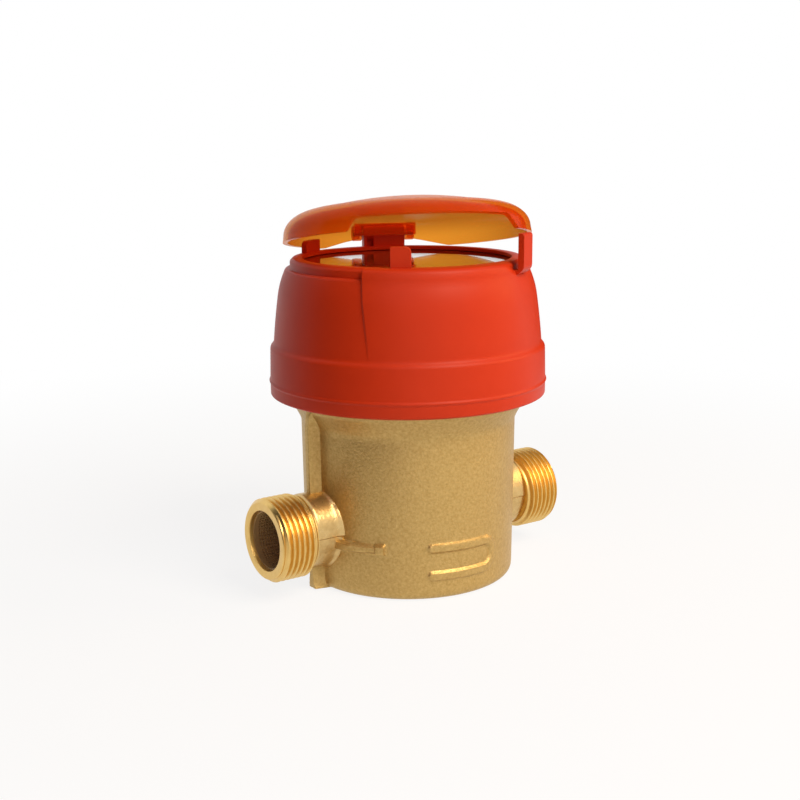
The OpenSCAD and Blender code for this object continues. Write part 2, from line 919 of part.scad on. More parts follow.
// Hinge tower: a knuckle on a web, with a narrow slot beside one end
module hinge_tower() {
    web_out = 1.2;
    at_hinge()
        difference() {
            union() {
                rotate([90, 0, 0])
                    translate([0, 0, -tower_w / 2])
                        cylinder(r = knuckle_r, h = tower_w);
                translate([-knuckle_r, -tower_w / 2, rim_z - hinge_z - rim_t / 2])
                    cube([knuckle_r + web_out, tower_w, hinge_z - rim_z + rim_t / 2]);
                translate([-rim_edge, -tower_w / 2, lip_z - hinge_z - 0.4])
                    cube([rim_edge + web_out, tower_w, hinge_z - lip_z + 0.4]);
            }
            translate([-knuckle_r - cut, tower_w / 2 - 3.2, rim_z - hinge_z + 0.8])
                cube([2 * knuckle_r + 2 * cut, 2.2, hinge_z - rim_z - 0.8 - pin_r - 0.6]);
            rotate([90, 0, 0])
                translate([0, 0, -tower_w])
                    cylinder(r = pin_r + run_gap, h = 2 * tower_w);
        }
}

// Upright tab with one rounded top corner
module tab(a, inner, w, h) {
    round_r = min(2, w / 3);
    rotate([0, 0, a])
        translate([inner, 0, 0])
            rotate([90, 0, 90])
                linear_extrude(tab_t)
                    union() {
                        translate([-w / 2, 0])
                            square([w, h - round_r]);
                        translate([-w / 2, 0])
                            square([w - round_r, h]);
                        translate([w / 2 - round_r, h - round_r])
                            circle(r = round_r, $fn = 32);
                    }
}

// Outer tab that grows out of the dome and stands beside the lid's skirt
module side_tab() {
    w = 6.4;
    high = lid_z + lid_skirt_h + lid_shoulder_h;
    inner = lid_r + sweep_gap;
    foot_z = lip_z - 5;
    rotate([90, 0, side_tab_a])
        translate([0, 0, -w / 2])
            linear_extrude(w)
                polygon([
                    [lip_r - shroud_t, foot_z], [dome_at(foot_z), foot_z],
                    [inner + tab_t, lip_z + 1], [inner + tab_t, high - 1],
                    [inner + tab_t - 1, high], [inner, high], [inner, lip_z],
                    [lip_r - shroud_t, lip_z]
                ]);
}

module shroud() {
    front_rise = 2.4;
    color("#c62a24")
        union() {
            rotate_extrude()
                shroud_section();
            shroud_panel();
            hinge_tower();
            translate([0, 0, rim_z - 0.6]) {
                tab(front_tab_a, tab_in, 6.2, tab_top + front_rise - rim_z + 0.6);
                tab(back_tab_a, tab_in, 6.2, tab_top - rim_z + 0.6);
            }
            side_tab();
        }
}

module hinge_pin() {
    reach = leg_gap + leg_w;
    color("#b9bcc0")
        at_hinge()
            rotate([90, 0, 0])
                translate([0, 0, -reach + seat_gap])
                    cylinder(r = pin_r, h = 2 * (reach - seat_gap));
}

// Half section of the lid: a short skirt, a rounded shoulder and a shallow crown
module lid_section() {
    top = lid_z + lid_skirt_h;
    high = top + lid_shoulder_h;
    polygon(concat(
        [[lid_in, lid_z], [lid_r, lid_z]],
        quarter([lid_edge, top], lid_shoulder_w, lid_shoulder_h),
        [for (i = [1 : 4]) let (s = 1 - i / 4) [lid_edge * s, high + lid_crown * (1 - s * s)]],
        [for (i = [0 : 3]) let (s = i / 4) [lid_edge * s, high - lid_t + lid_crown * (1 - s * s)]],
        [for (i = [10 : -1 : 0])
            quarter([lid_edge, top], lid_shoulder_w - lid_t, lid_shoulder_h - lid_t)[i]]
    ));
}

// Cut through the front of the skirt, with rounded ends
module lid_front_cut() {
    half = 38;
    depth = 4.4;
    translate([0, 0, lid_z - cut])
        sector(lid_cut_a - half, lid_cut_a + half)
            translate([lid_in - 4, 0])
                square([8, depth + cut]);
    for (side = [-1, 1])
        rotate([0, 0, lid_cut_a + side * half])
            translate([lid_in - 4, 0, lid_z])
                rotate([0, 90, 0])
                    cylinder(r = depth, h = 8);
}

// Slot over the hinge tower and the relief of the skirt beside it
module lid_hinge_cut() {
    at_hinge() {
        translate([-knuckle_r - sweep_gap, -leg_gap, -2 * knuckle_r])
            cube([3 * knuckle_r + 2 * sweep_gap, 2 * leg_gap, 2 * knuckle_r + 1]);
        rotate([90, 0, 0])
            translate([0, 0, -leg_gap])
                cylinder(r = knuckle_r + sweep_gap, h = 2 * leg_gap);
    }
    swing = hinge_z - rim_z - sweep_gap;
    relief_h = hinge_z - sqrt(swing * swing - pow(lid_r - hinge_r, 2)) - lid_z;
    translate([0, 0, lid_z - cut])
        sector(hinge_a - 28, hinge_a + 28)
            translate([lid_in - 1, 0])
                square([3, relief_h + cut]);
}

// Two hinge legs that stand either side of the tower
module lid_legs() {
    leg_r = 2.6;
    joint_z = lid_z + lid_at(hinge_r - leg_r / 2) - 0.4;
    at_hinge()
        for (side = [-1, 1])
            translate([0, side * (leg_gap + leg_w / 2), 0])
                rotate([90, 0, 0])
                    translate([0, 0, -leg_w / 2])
                        difference() {
                            union() {
                                cylinder(r = leg_r, h = leg_w);
                                translate([-leg_r, 0, 0])
                                    cube([leg_r, joint_z - hinge_z, leg_w]);
                            }
                            translate([0, 0, -cut])
                                cylinder(r = pin_r + run_gap, h = leg_w + 2 * cut);
                        }
}

module lid() {
    color("#e0561c", 0.8)
        lid_turned()
            union() {
                difference() {
                    rotate_extrude()
                        lid_section();
                    lid_front_cut();
                    lid_hinge_cut();
                    pin_way();
                }
                lid_legs();
            }
}

// Way for the pin through the lid's wall beside the legs
module pin_way() {
    at_hinge()
        rotate([90, 0, 0])
            translate([0, 0, -leg_gap - leg_w])
                cylinder(r = pin_r + run_gap, h = 2 * (leg_gap + leg_w));
}

body();
inlet_strainer();
chamber_seal();
measuring_chamber();
partition_plate();
rotary_piston();
chamber_lid();
magnet_carrier();
drive_magnet();
pressure_plate();
plate_seal();
clamp_ring();
register_cup();
low_plate();
bridge_plate();
frame_pillars();
follower_spindle();
follower_magnet();
dial_arbor_1();
dial_arbor_2();
dial_arbor_3();
dial_arbor_4();
dial_arbor_5();
top_plate();
dial_plate();
pointer_1();
pointer_2();
pointer_3();
pointer_4();
pointer_5();
window_gasket();
window();
shroud();
hinge_pin();
lid();
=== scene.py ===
"""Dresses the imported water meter: cast brass body, threaded ports, red shroud, clear orange lid, dial.

Sizes in the classes are millimetres and angles are degrees; meshes are written in metres. The frame
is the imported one: +X runs with the flow, +Z is up and the origin is the centre of the base. Endings
of names: _r radius, _z height above the base, _h height of a feature, _w width, _t thickness, _a angle
round +Z, _out distance outwards, _in inner radius.
"""

import logging
from dataclasses import dataclass, field
from enum import Enum
from typing import Any, Iterable, Optional, Sequence

import bmesh
import bpy
import numpy as np
from mathutils import Matrix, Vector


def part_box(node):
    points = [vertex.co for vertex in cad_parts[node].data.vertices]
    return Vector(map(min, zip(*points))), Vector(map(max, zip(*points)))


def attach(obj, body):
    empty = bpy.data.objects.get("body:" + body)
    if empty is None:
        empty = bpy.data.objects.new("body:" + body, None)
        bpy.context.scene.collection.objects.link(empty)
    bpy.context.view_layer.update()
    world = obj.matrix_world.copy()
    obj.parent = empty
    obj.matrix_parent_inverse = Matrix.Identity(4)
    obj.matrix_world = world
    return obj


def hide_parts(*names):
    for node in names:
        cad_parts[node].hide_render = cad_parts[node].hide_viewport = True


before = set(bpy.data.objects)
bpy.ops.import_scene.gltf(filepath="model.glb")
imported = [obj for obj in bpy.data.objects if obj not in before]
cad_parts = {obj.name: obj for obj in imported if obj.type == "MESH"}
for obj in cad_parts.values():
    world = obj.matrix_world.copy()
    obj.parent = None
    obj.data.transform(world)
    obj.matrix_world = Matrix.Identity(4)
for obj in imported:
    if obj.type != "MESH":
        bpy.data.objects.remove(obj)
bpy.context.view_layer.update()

Array = np.ndarray
MeshData = tuple[Array, list[list[int]]]

MM = 0.001
WELD_MM = 0.0005
SCAN_POINTS = 7201
log = logging.getLogger("water_meter")


class Body(Enum):
    """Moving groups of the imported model."""

    METER = "meter"
    HEAD = "head"
    LID = "lid"


def linear(hex_colour: str) -> tuple[float, float, float, float]:
    """Turn an sRGB hex value into linear red, green, blue and full alpha."""
    code = np.array([int(hex_colour[i : i + 2], 16) for i in (1, 3, 5)]) / 255
    flat = np.where(code <= 0.04045, code / 12.92, ((code + 0.055) / 1.055) ** 2.4)
    return (*flat.tolist(), 1.0)


def box_mm(node: str) -> tuple[Array, Array]:
    """Give the lowest and highest corner of a solid at rest, in millimetres."""
    low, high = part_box(node)
    return np.array(low) / MM, np.array(high) / MM


def smooth_step(x: Array, low: float, high: float) -> Array:
    """Rise from 0 at low to 1 at high along 3 t squared minus 2 t cubed."""
    t = np.clip((x - low) / (high - low), 0, 1)
    return t * t * (3 - 2 * t)


def plateau(x: Array, half: float, soft: float) -> Array:
    """Stay at 1 within half of zero and fall to 0 over the soft width at its edge."""
    return 1 - smooth_step(np.abs(x), half - soft / 2, half + soft / 2)


def angle_off(angle: Array, centre: float) -> Array:
    """Give the signed turn from centre to angle, from -180 to 180 degrees."""
    return (angle - centre + 180) % 360 - 180


def columns(count: int, focus: Sequence[tuple[float, float, float]]) -> Array:
    """Angles round an axis that lie closer together where there is detail.

    The density is 1 plus a plateau of the given weight over each span. Its running sum is inverted
    at even steps.

    Args:
        count: Number of angles in the full turn.
        focus: Start angle, end angle and added weight of each span.

    Returns:
        Rising angles in degrees.
    """
    fine = np.linspace(0, 360, SCAN_POINTS)
    density = np.ones_like(fine)
    for start, end, weight in focus:
        density += weight * plateau(angle_off(fine, (start + end) / 2), (end - start) / 2, 1)
    total = np.concatenate([[0], np.cumsum((density[1:] + density[:-1]) / 2)])
    return np.interp(np.arange(count) / count * total[-1], total, fine)


def rounded(corners: Array, steps: int = 3) -> Array:
    """Closed profile whose corners are rounded.

    A corner with a radius becomes a parabola arc between the points that lie that far before and
    after it: (1-t) squared A + 2 t (1-t) C + t squared B. A corner without one stays a point.

    Args:
        corners: Rows of two coordinates and a radius.
        steps: Pieces in each arc.

    Returns:
        Rows of two coordinates.
    """
    point, radius = corners[:, :2], corners[:, 2:]
    before, after = np.roll(point, 1, axis=0) - point, np.roll(point, -1, axis=0) - point
    start = point + before / np.linalg.norm(before, axis=1, keepdims=True) * radius
    end = point + after / np.linalg.norm(after, axis=1, keepdims=True) * radius
    t = np.linspace(0, 1, steps + 1)[None, :, None]
    arc = (1 - t) ** 2 * start[:, None] + 2 * t * (1 - t) * point[:, None] + t**2 * end[:, None]
    keep = (radius > 0) | (np.arange(steps + 1) == 0)[None, :]
    return arc[keep]


def radial_axes(angle: float) -> Array:
    """Rows outwards at an angle round +Z, along the turn there, and up."""
    c, s = np.cos(np.radians(angle)), np.sin(np.radians(angle))
    return np.array([[c, s, 0], [-s, c, 0], [0, 0, 1]])


def about_z(radius: Array, angle: Array, height: Array) -> Array:
    """Place points by radius, angle round +Z and height."""
    turn = np.radians(angle)
    return np.stack(np.broadcast_arrays(radius * np.cos(turn), radius * np.sin(turn), height), axis=-1)


def about_x(along: Array, radius: Array, angle: Array, height: float) -> Array:
    """Place points by distance along +X, radius and angle round an axis at a height."""
    turn = np.radians(angle)
    return np.stack(
        np.broadcast_arrays(along, radius * np.cos(turn), height + radius * np.sin(turn)), axis=-1
    )


def grid_quads(turns: int, rows: int, closed_rows: bool) -> Array:
    """Quads of a grid that closes on itself in its first direction.

    Args:
        turns: Points round the axis.
        rows: Points along the profile.
        closed_rows: Whether the profile closes on itself as well.

    Returns:
        Indices of shape turns, spans, 4, which run round and then along.
    """
    index = np.arange(turns * rows).reshape(turns, rows)
    if closed_rows:
        index = np.concatenate([index, index[:, :1]], axis=1)
    ahead = np.roll(index, -1, axis=0)
    return np.stack([index[:, :-1], ahead[:, :-1], ahead[:, 1:], index[:, 1:]], axis=-1)


def ring_shell(points: Array) -> MeshData:
    """Close a profile carried round an axis, with points of shape turns, stations, 3."""
    turns, rows = points.shape[:2]
    return points.reshape(-1, 3), grid_quads(turns, rows, True).reshape(-1, 4).tolist()


def thick_shell(outer: Array, inner: Array, keep: Optional[Array] = None) -> MeshData:
    """Wall between two skins over the same grid.

    Every edge of the outer skin that has a face on one side only is joined to the same edge of the
    inner skin, so the ends and the edges of holes are closed.

    Args:
        outer: Points of shape turns, rows, 3; rows run so that faces point outwards.
        inner: Points of the same shape.
        keep: Faces that are there, of shape turns, rows - 1.

    Returns:
        Vertices and faces.
    """
    turns, rows = outer.shape[:2]
    count = turns * rows
    quads = grid_quads(turns, rows, False)
    quads = quads.reshape(-1, 4) if keep is None else quads[keep]
    start, end = quads.ravel(), np.roll(quads, -1, axis=1).ravel()
    free = ~np.isin(start * count + end, end * count + start)
    walls = np.stack([end[free], start[free], start[free] + count, end[free] + count], axis=-1)
    faces = np.concatenate([quads, quads[:, ::-1] + count, walls])
    return np.concatenate([outer.reshape(-1, 3), inner.reshape(-1, 3)]), faces.tolist()


def prism(outline: Array, start: float, end: float) -> MeshData:
    """Pull a counter-clockwise outline in X-Y along +Z from start to end."""
    count = len(outline)
    low = np.column_stack([outline, np.full(count, start)])
    high = np.column_stack([outline, np.full(count, end)])
    index = np.arange(count)
    ahead = np.roll(index, -1)
    sides = np.stack([index, ahead, ahead + count, index + count], axis=-1).tolist()
    ends = [index[::-1].tolist(), (index + count).tolist()]
    return np.concatenate([low, high]), sides + ends


def joined(parts: Iterable[MeshData]) -> MeshData:
    """Put several meshes into one list of vertices and faces."""
    vertices: list[Array] = []
    faces: list[list[int]] = []
    total = 0
    for points, polygons in parts:
        faces += [[i + total for i in polygon] for polygon in polygons]
        vertices.append(points)
        total += len(points)
    return np.concatenate(vertices), faces


def moved(mesh: MeshData, axes: Array, origin: Array) -> MeshData:
    """Place a mesh whose own axes are the rows of a matrix, at an origin."""
    return mesh[0] @ axes + origin, mesh[1]


def add_node(
    tree: bpy.types.NodeTree, kind: str, inputs: dict[str, Any], **settings: Any
) -> Sequence[bpy.types.NodeSocket]:
    """Add a node with its settings, values and links.

    Args:
        tree: Node tree of a material or world.
        kind: Type of the node, without its leading ShaderNode.
        inputs: Value or output socket for each named or numbered input.
        settings: Properties of the node.

    Returns:
        Its output sockets, by number or by name.
    """
    node = tree.nodes.new("ShaderNode" + kind)
    for key, value in settings.items():
        setattr(node, key, value)
    for key, value in inputs.items():
        socket = node.inputs[int(key) if key.isdigit() else key]
        if isinstance(value, bpy.types.NodeSocket):
            tree.links.new(value, socket)
        else:
            socket.default_value = value
    return node.outputs


def bare_tree(owner: bpy.types.Material | bpy.types.World) -> bpy.types.NodeTree:
    """Give the emptied node tree of a material or world."""
    owner.use_nodes = True
    owner.node_tree.nodes.clear()
    return owner.node_tree


def place_in_scene(thing: bpy.types.Object, axes: Array, place: Array) -> None:
    """Put an object whose own axes are the rows of a matrix at a place in millimetres."""
    matrix = np.eye(4)
    matrix[:3, :3], matrix[:3, 3] = axes.T, place * MM
    thing.matrix_world = Matrix(matrix.tolist())
    bpy.context.scene.collection.objects.link(thing)


@dataclass(frozen=True)
class Finish:
    """Look of one real material, built once as nodes on a Principled surface."""

    name: str
    slot: str
    colour: str
    roughness: float
    second: str = ""
    mottle_mm: float = 6.0
    grain_mm: float = 0.4
    grain_depth_mm: float = 0.01
    roughness_swing: float = 0.08
    metallic: float = 0.0
    transmission: float = 0.0
    ior: float = 1.5
    specular: float = 0.5
    clear: str = ""
    clear_face: float = 0.0
    clear_edge: float = 0.0

    def material(self) -> bpy.types.Material:
        """Give the material, made on first use."""
        return bpy.data.materials.get(self.name) or self.build()

    def build(self) -> bpy.types.Material:
        """Mottle the colour and the gloss softly and raise a fine grain, all on Object coordinates."""
        material = bpy.data.materials.new(self.name)
        tree = bare_tree(material)
        place = add_node(tree, "TexCoord", {})["Object"]
        broad = {"Vector": place, "Scale": 1 / (self.mottle_mm * MM), "Detail": 4.0, "Roughness": 0.6}
        patch = add_node(tree, "TexNoise", broad)["Fac"]
        fine = {"Vector": place, "Scale": 1 / (self.grain_mm * MM), "Detail": 3.0}
        grain = add_node(tree, "TexNoise", fine)["Fac"]
        tints = {"0": patch, "6": linear(self.colour), "7": linear(self.second or self.colour)}
        span = {
            "Value": patch,
            "To Min": max(self.roughness - self.roughness_swing, 0.0),
            "To Max": self.roughness + self.roughness_swing,
        }
        relief = {"Height": grain, "Strength": 1.0, "Distance": self.grain_depth_mm * MM}
        values = {
            "Base Color": add_node(tree, "Mix", tints, data_type="RGBA")[2],
            "Roughness": add_node(tree, "MapRange", span)[0],
            "Normal": add_node(tree, "Bump", relief)[0],
            "Metallic": self.metallic,
            "IOR": self.ior,
            "Specular IOR Level": self.specular,
            "Transmission Weight": self.transmission,
        }
        surface = add_node(tree, "BsdfPrincipled", values)[0]
        if self.clear:
            through = add_node(tree, "BsdfTransparent", {"Color": linear(self.clear)})[0]
            slant = add_node(tree, "LayerWeight", {"Blend": 0.5})["Facing"]
            thick = {"Value": slant, "To Min": self.clear_face, "To Max": self.clear_edge}
            share = add_node(tree, "MapRange", thick)[0]
            layers = {"0": share, "1": surface, "2": through}
            surface = add_node(tree, "MixShader", layers)[0]
        add_node(tree, "OutputMaterial", {"Surface": surface})
        return material


# Sand-cast brass: dull warm metal with a gritty skin and darker hollows between the grains
CAST_BRASS = Finish(
    "sand_cast_brass", "cast_brass", "#D8B776", 0.46, "#A08040", mottle_mm=0.9, grain_mm=0.7,
    grain_depth_mm=0.14, roughness_swing=0.1, metallic=0.8,
)
# Fettled brass of the necks: the same casting, filed smoother so that it glints on its shoulder, with a
# lighter colour that is painted highlight
FETTLED_BRASS_PAINTED_HIGHLIGHT = Finish(
    "fettled_brass_painted_highlight", "cast_brass", "#E2C488", 0.3, "#B8965A", mottle_mm=1.6, grain_mm=0.9,
    grain_depth_mm=0.08, roughness_swing=0.08, metallic=0.85,
)
# Turned brass: bright yellow metal fresh from the tool, with a soft mottle
TURNED_BRASS = Finish(
    "lathe_turned_brass", "cast_brass", "#ECC87E", 0.34, "#D6AE62", mottle_mm=2.5, grain_mm=0.3,
    grain_depth_mm=0.02, roughness_swing=0.06, metallic=1.0,
)
# Machined brass of the clamp ring: the same metal, a little duller
CLAMP_BRASS = Finish(
    "machined_brass", "turned_brass", "#CFA552", 0.3, "#B98D3E", grain_mm=0.4, metallic=1.0,
)
# Moulded polypropylene of the strainer: straw brown, slightly waxy
STRAINER_PLASTIC = Finish(
    "moulded_polypropylene", "strainer_plastic", "#B89A68", 0.5, "#8A7048", grain_mm=0.6,
)
# Nitrile rubber: matt black with a faint bloom
SEAL_RUBBER = Finish(
    "nitrile_rubber", "seal_rubber", "#242322", 0.72, "#302E2C", grain_mm=0.3, grain_depth_mm=0.02,
)
# Moulded acetal of the chamber and its pieces: milky white, low gloss
CHAMBER_PLASTIC = Finish(
    "moulded_acetal", "chamber_plastic", "#E6E3DA", 0.42, "#DCD8CC", grain_mm=0.5,
)
# Hard rubber of the piston: near black with a dull polish
PISTON_PLASTIC = Finish(
    "moulded_ebonite", "piston_plastic", "#2C2A2A", 0.38, "#38342F", grain_mm=0.5,
)
# Stainless steel: grey, brushed fine
STEEL = Finish(
    "stainless_steel", "steel", "#BFC2C5", 0.3, "#A9ADB1", mottle_mm=2.0, grain_mm=0.2,
    grain_depth_mm=0.01, metallic=1.0,
)
# Sintered ferrite of the magnets: charcoal, dry
FERRITE = Finish(
    "sintered_ferrite", "magnet", "#3B3B3E", 0.56, "#46464A", grain_mm=0.35, grain_depth_mm=0.03,
)
# Glass-filled nylon of the pressure plate: grey with a fibrous mottle
PLATE_PLASTIC = Finish(
    "glass_filled_nylon", "plate_plastic", "#5C6166", 0.5, "#6B7075", mottle_mm=1.6, grain_mm=0.5,
)
# Drawn copper of the register cup: salmon metal with broad soft patches
COPPER = Finish(
    "drawn_copper", "copper_cup", "#C4794F", 0.3, "#AE6440", mottle_mm=8.0, metallic=1.0,
)
# Moulded polycarbonate of the frame plates: pale grey
FRAME_PLASTIC = Finish(
    "moulded_polycarbonate", "frame_plastic", "#C9CBCB", 0.4, "#BFC2C3", grain_mm=0.5,
)
# Moulded acetal of the gears: cream
GEAR_PLASTIC = Finish(
    "natural_acetal", "gear_plastic", "#E2D7B4", 0.4, "#D8CBA2", grain_mm=0.4,
)
# Printed aluminium of the dial: white enamel, smooth
DIAL_WHITE = Finish(
    "white_enamel", "dial_white", "#F1F1EC", 0.35, "#ECECE6", grain_mm=0.8, grain_depth_mm=0.004,
)
# Screen ink on the dial: flat black and flat red
INK_BLACK = Finish("black_ink", "pointer_black", "#1B1B1D", 0.55, "#242427", grain_mm=0.3)
INK_RED = Finish("red_ink", "pointer_red", "#B81F26", 0.55, "#C42A2F", grain_mm=0.3)
# Painted needles: semi-gloss
NEEDLE_RED = Finish("red_needle_paint", "pointer_red", "#C4222A", 0.36, "#B81C24", grain_mm=0.4)
NEEDLE_BLACK = Finish("black_needle_paint", "pointer_black", "#202022", 0.36, "#2A2A2C", grain_mm=0.4)
# Toughened glass: clear, with a sharp reflection
WINDOW_GLASS = Finish(
    "toughened_glass", "window_glass", "#F6FBFA", 0.02, "#F2F8F7", grain_mm=8.0,
    grain_depth_mm=0.001, roughness_swing=0.01, transmission=1.0, ior=1.52,
)
# Moulded red ABS of the shroud: satin, with a fine spark-eroded grain
SHROUD_RED = Finish(
    "moulded_red_abs", "shroud_red", "#C43410", 0.44, "#BC300E", mottle_mm=14.0, grain_mm=0.5,
    grain_depth_mm=0.006, roughness_swing=0.05, specular=0.18,
)
# Tinted polycarbonate of the lid: amber where light comes through, red-orange where it is thick
LID_ORANGE = Finish(
    "tinted_polycarbonate", "lid_orange", "#D4440A", 0.2, "#CE400A", mottle_mm=20.0, grain_mm=2.0,
    grain_depth_mm=0.004, roughness_swing=0.03, specular=0.2, clear="#FFCE74", clear_face=0.86,
    clear_edge=0.38,
)
# Polycarbonate of the hinge legs: the lid's tint with a lighter, yellower base colour, painted light for
# the shade under the lid
LEG_ORANGE_PAINTED_LIGHT = Finish(
    "lid_polycarbonate_painted_light", "lid_orange", "#FA8430", 0.3, "#F47C28", mottle_mm=20.0,
    specular=0.2, clear="#FFB468", clear_face=0.76, clear_edge=0.6,
)


def add_piece(
    name: str,
    mesh_data: MeshData,
    body: Body,
    finish: Finish,
    replaced: Sequence[str] = (),
    sharp: float = 34.0,
    bevel: float = 0.0,
) -> bpy.types.Object:
    """Make a piece from vertices and faces, and tie it to the frame.

    Args:
        name: Name of the piece.
        mesh_data: Vertices in millimetres and faces.
        body: Group that the piece moves with.
        finish: Its material.
        replaced: Solids that the piece stands for.
        sharp: Angle between faces above which an edge stays sharp.
        bevel: Width of a bevel along the sharp edges, in millimetres.

    Returns:
        The object, at the origin.
    """
    vertices, faces = mesh_data
    mesh = bpy.data.meshes.new(name)
    mesh.from_pydata((vertices * MM).tolist(), [], faces)
    work = bmesh.new()
    work.from_mesh(mesh)
    bmesh.ops.remove_doubles(work, verts=work.verts, dist=WELD_MM * MM)
    work.to_mesh(mesh)
    work.free()
    mesh.shade_smooth()
    mesh.set_sharp_from_angle(angle=np.radians(sharp))
    mesh.materials.append(finish.material())
    piece = bpy.data.objects.new(name, mesh)
    bpy.context.scene.collection.objects.link(piece)
    if bevel:
        edge = piece.modifiers.new("edge", "BEVEL")
        edge.width = bevel * MM
        edge.segments = 3
        edge.limit_method = "ANGLE"
        edge.angle_limit = np.radians(sharp)
        edge.harden_normals = True
    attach(piece, body.value)
    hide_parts(*replaced)
    log.info("piece %s on %s: %d faces", name, body.value, len(mesh.polygons))
    return piece


@dataclass
class BrassBody:
    """Cast can with its flare, ribs, seam and flow mark, and the two threaded ports."""

    can_r: float = 34.7
    base_r: float = 34.0
    base_edge: float = 2.6
    base_t: float = 5.0
    cavity_r: float = 29.8
    seat_r: float = 34.8
    seat_z: float = 61.0
    fine_z: float = 31.0
    flare_z: float = 51.6
    flare_h: float = 6.1
    flare_power: float = 1.3
    collar_r: float = 37.9
    flange_z: float = 61.5
    flange_h: float = 5.5
    rim_chamfer: float = 1.2
    rib_w: float = 2.4
    rib_out: float = 3.8
    rib_draft: float = 0.5
    rib_soft: float = 0.9
    rib_foot: float = 1.2
    rib_foot_h: float = 2.0
    rib_start_h: float = 0.4
    rib_swell: float = 0.35
    rib_swell_w: float = 1.2
    mark_from: float = 246.6
    mark_to: float = 284.6
    mark_high: float = 16.9
    mark_low: float = 7.9
    mark_half: float = 1.35
    mark_soft: float = 0.8
    mark_out: float = 0.7
    seam_from: float = 188.0
    nub_a: float = 219.5
    seam_z: float = 16.5
    seam_out: float = 2.4
    seam_out_fall: float = 1.3
    seam_half: float = 1.7
    seam_half_fall: float = 0.7
    seam_soft: float = 0.9
    nub_out: float = 1.7
    nub_half_w: float = 1.5
    nub_half_h: float = 1.55
    nub_soft: float = 0.7
    port_z: float = 19.2
    bore_r: float = 9.4
    neck_r: float = 12.6
    neck_step: float = 1.0
    neck_flat: float = 2.1
    neck_wall: float = 0.6
    neck_ledge: float = 0.08
    neck_sink: float = 0.2
    neck_fillet: float = 0.7
    neck_fillet_w: float = 0.6
    neck_chamfer: float = 0.5
    neck_chamfer_w: float = 0.8
    thread_r: float = 13.22
    thread_x: float = 42.0
    pitch: float = 1.814
    thread_depth: float = 1.16
    crest_to_root: tuple[float, float] = (0.12, 0.9)
    runout: tuple[float, float] = (0.2, 2.0)
    root_drop: float = 1.1
    lead_back: float = 0.7
    lead_w: float = 0.6
    lead_drop: float = 0.5
    turns: int = 400
    port_turns: int = 144
    fine_spans: tuple[tuple[float, float, float], ...] = (
        (176, 184, 2), (188, 223, 1.2), (244, 288, 1.6), (352, 360, 2), (0, 8, 2),
    )
    half_length: float = field(init=False)
    flange_r: float = field(init=False)
    top: float = field(init=False)

    def __post_init__(self) -> None:
        """Take the outer sizes from the frame."""
        high = box_mm("body")[1]
        self.half_length, self.flange_r, self.top = high.tolist()

    def profile(self) -> Array:
        """Radius and height along the outside, from the base's centre to the top rim."""
        edge = np.radians(np.linspace(-90, 0, 9))[1:]
        rise = np.linspace(0, 1, 9)[1:]
        flat_r = np.linspace(0, self.base_r - self.base_edge, 9)
        side_z = np.concatenate([
            np.linspace(self.base_edge, self.fine_z, 69)[1:],
            np.linspace(self.fine_z, self.flare_z, 14)[1:],
        ])
        flare = self.can_r + (self.collar_r - self.can_r) * rise**self.flare_power
        rim = [
            (self.collar_r, self.flange_z),
            (self.flange_r, self.flange_z),
            (self.flange_r, self.flange_z + self.flange_h),
            (self.flange_r - self.rim_chamfer, self.top),
        ]
        return np.concatenate([
            np.column_stack([flat_r, np.zeros_like(flat_r)]),
            np.column_stack([
                self.base_r - self.base_edge + self.base_edge * np.cos(edge),
                self.base_edge + self.base_edge * np.sin(edge),
            ]),
            np.column_stack([np.interp(side_z, [0, self.flare_z], [self.base_r, self.can_r]), side_z]),
            np.column_stack([flare, self.flare_z + self.flare_h * rise]),
            np.array(rim),
        ])

    def relief(self, angle: Array, height: Array) -> Array:
        """Height of the raised details over the plain can.

        Ribs are plateaus round 0 and 180 degrees that run straight up into the flare and spread at
        the foot. The flow mark is a bead whose height falls with the distance from a sideways U. The
        seam is a plateau in height that thins towards a square nub.

        Args:
            angle: Angles round the can.
            height: Heights on the can.

        Returns:
            Distance outwards.
        """
        rise = np.clip((height - self.flare_z) / self.flare_h, 0, 1)
        flare = (self.collar_r - self.can_r) * rise**self.flare_power
        along = np.minimum(np.abs(angle_off(angle, 180)), np.abs(angle_off(angle, 0)))
        across = np.radians(along) * self.can_r
        edge = self.base_edge - np.clip(height, 0, self.base_edge)
        inset = self.base_edge - np.sqrt(self.base_edge**2 - edge**2)
        start = smooth_step(height, 0, self.rib_start_h)
        spread = self.rib_foot * np.exp(-height / self.rib_foot_h)
        rib = (self.rib_out + inset - flare - self.rib_draft * rise) * start
        rib = rib * plateau(across - spread, self.rib_w / 2, self.rib_soft)
        swell = self.rib_swell * (rise < 1) * smooth_step(height, 0, self.rib_foot_h)
        swell = swell * np.exp(-np.maximum(across - self.rib_w / 2, 0) / self.rib_swell_w)

        middle, half = (self.mark_high + self.mark_low) / 2, (self.mark_high - self.mark_low) / 2
        length = np.radians(self.mark_to - self.mark_from) * self.can_r - half
        a = np.radians(angle_off(angle, self.mark_from)) * self.can_r
        z = height - middle
        bar = np.hypot(np.minimum(a, 0), np.abs(z) - half)
        bend = np.abs(np.hypot(a - length, z) - half)
        gap = np.where(a > length, bend, bar)
        mark = self.mark_out * plateau(gap, self.mark_half, self.mark_soft)

        seam_arc = (angle > self.seam_from) & (angle < self.nub_a)
        taper = np.clip((angle - self.seam_from) / (self.nub_a - self.seam_from), 0, 1)
        lift = height - self.seam_z
        seam = (self.seam_out - self.seam_out_fall * taper) * seam_arc
        seam = seam * plateau(lift, self.seam_half - self.seam_half_fall * taper, self.seam_soft)
        nub_off = np.radians(angle_off(angle, self.nub_a)) * self.can_r
        nub = self.nub_out * plateau(nub_off, self.nub_half_w, self.nub_soft)
        nub = nub * plateau(lift, self.nub_half_h, self.nub_soft)
        return np.maximum.reduce([rib + swell, mark, seam, nub])

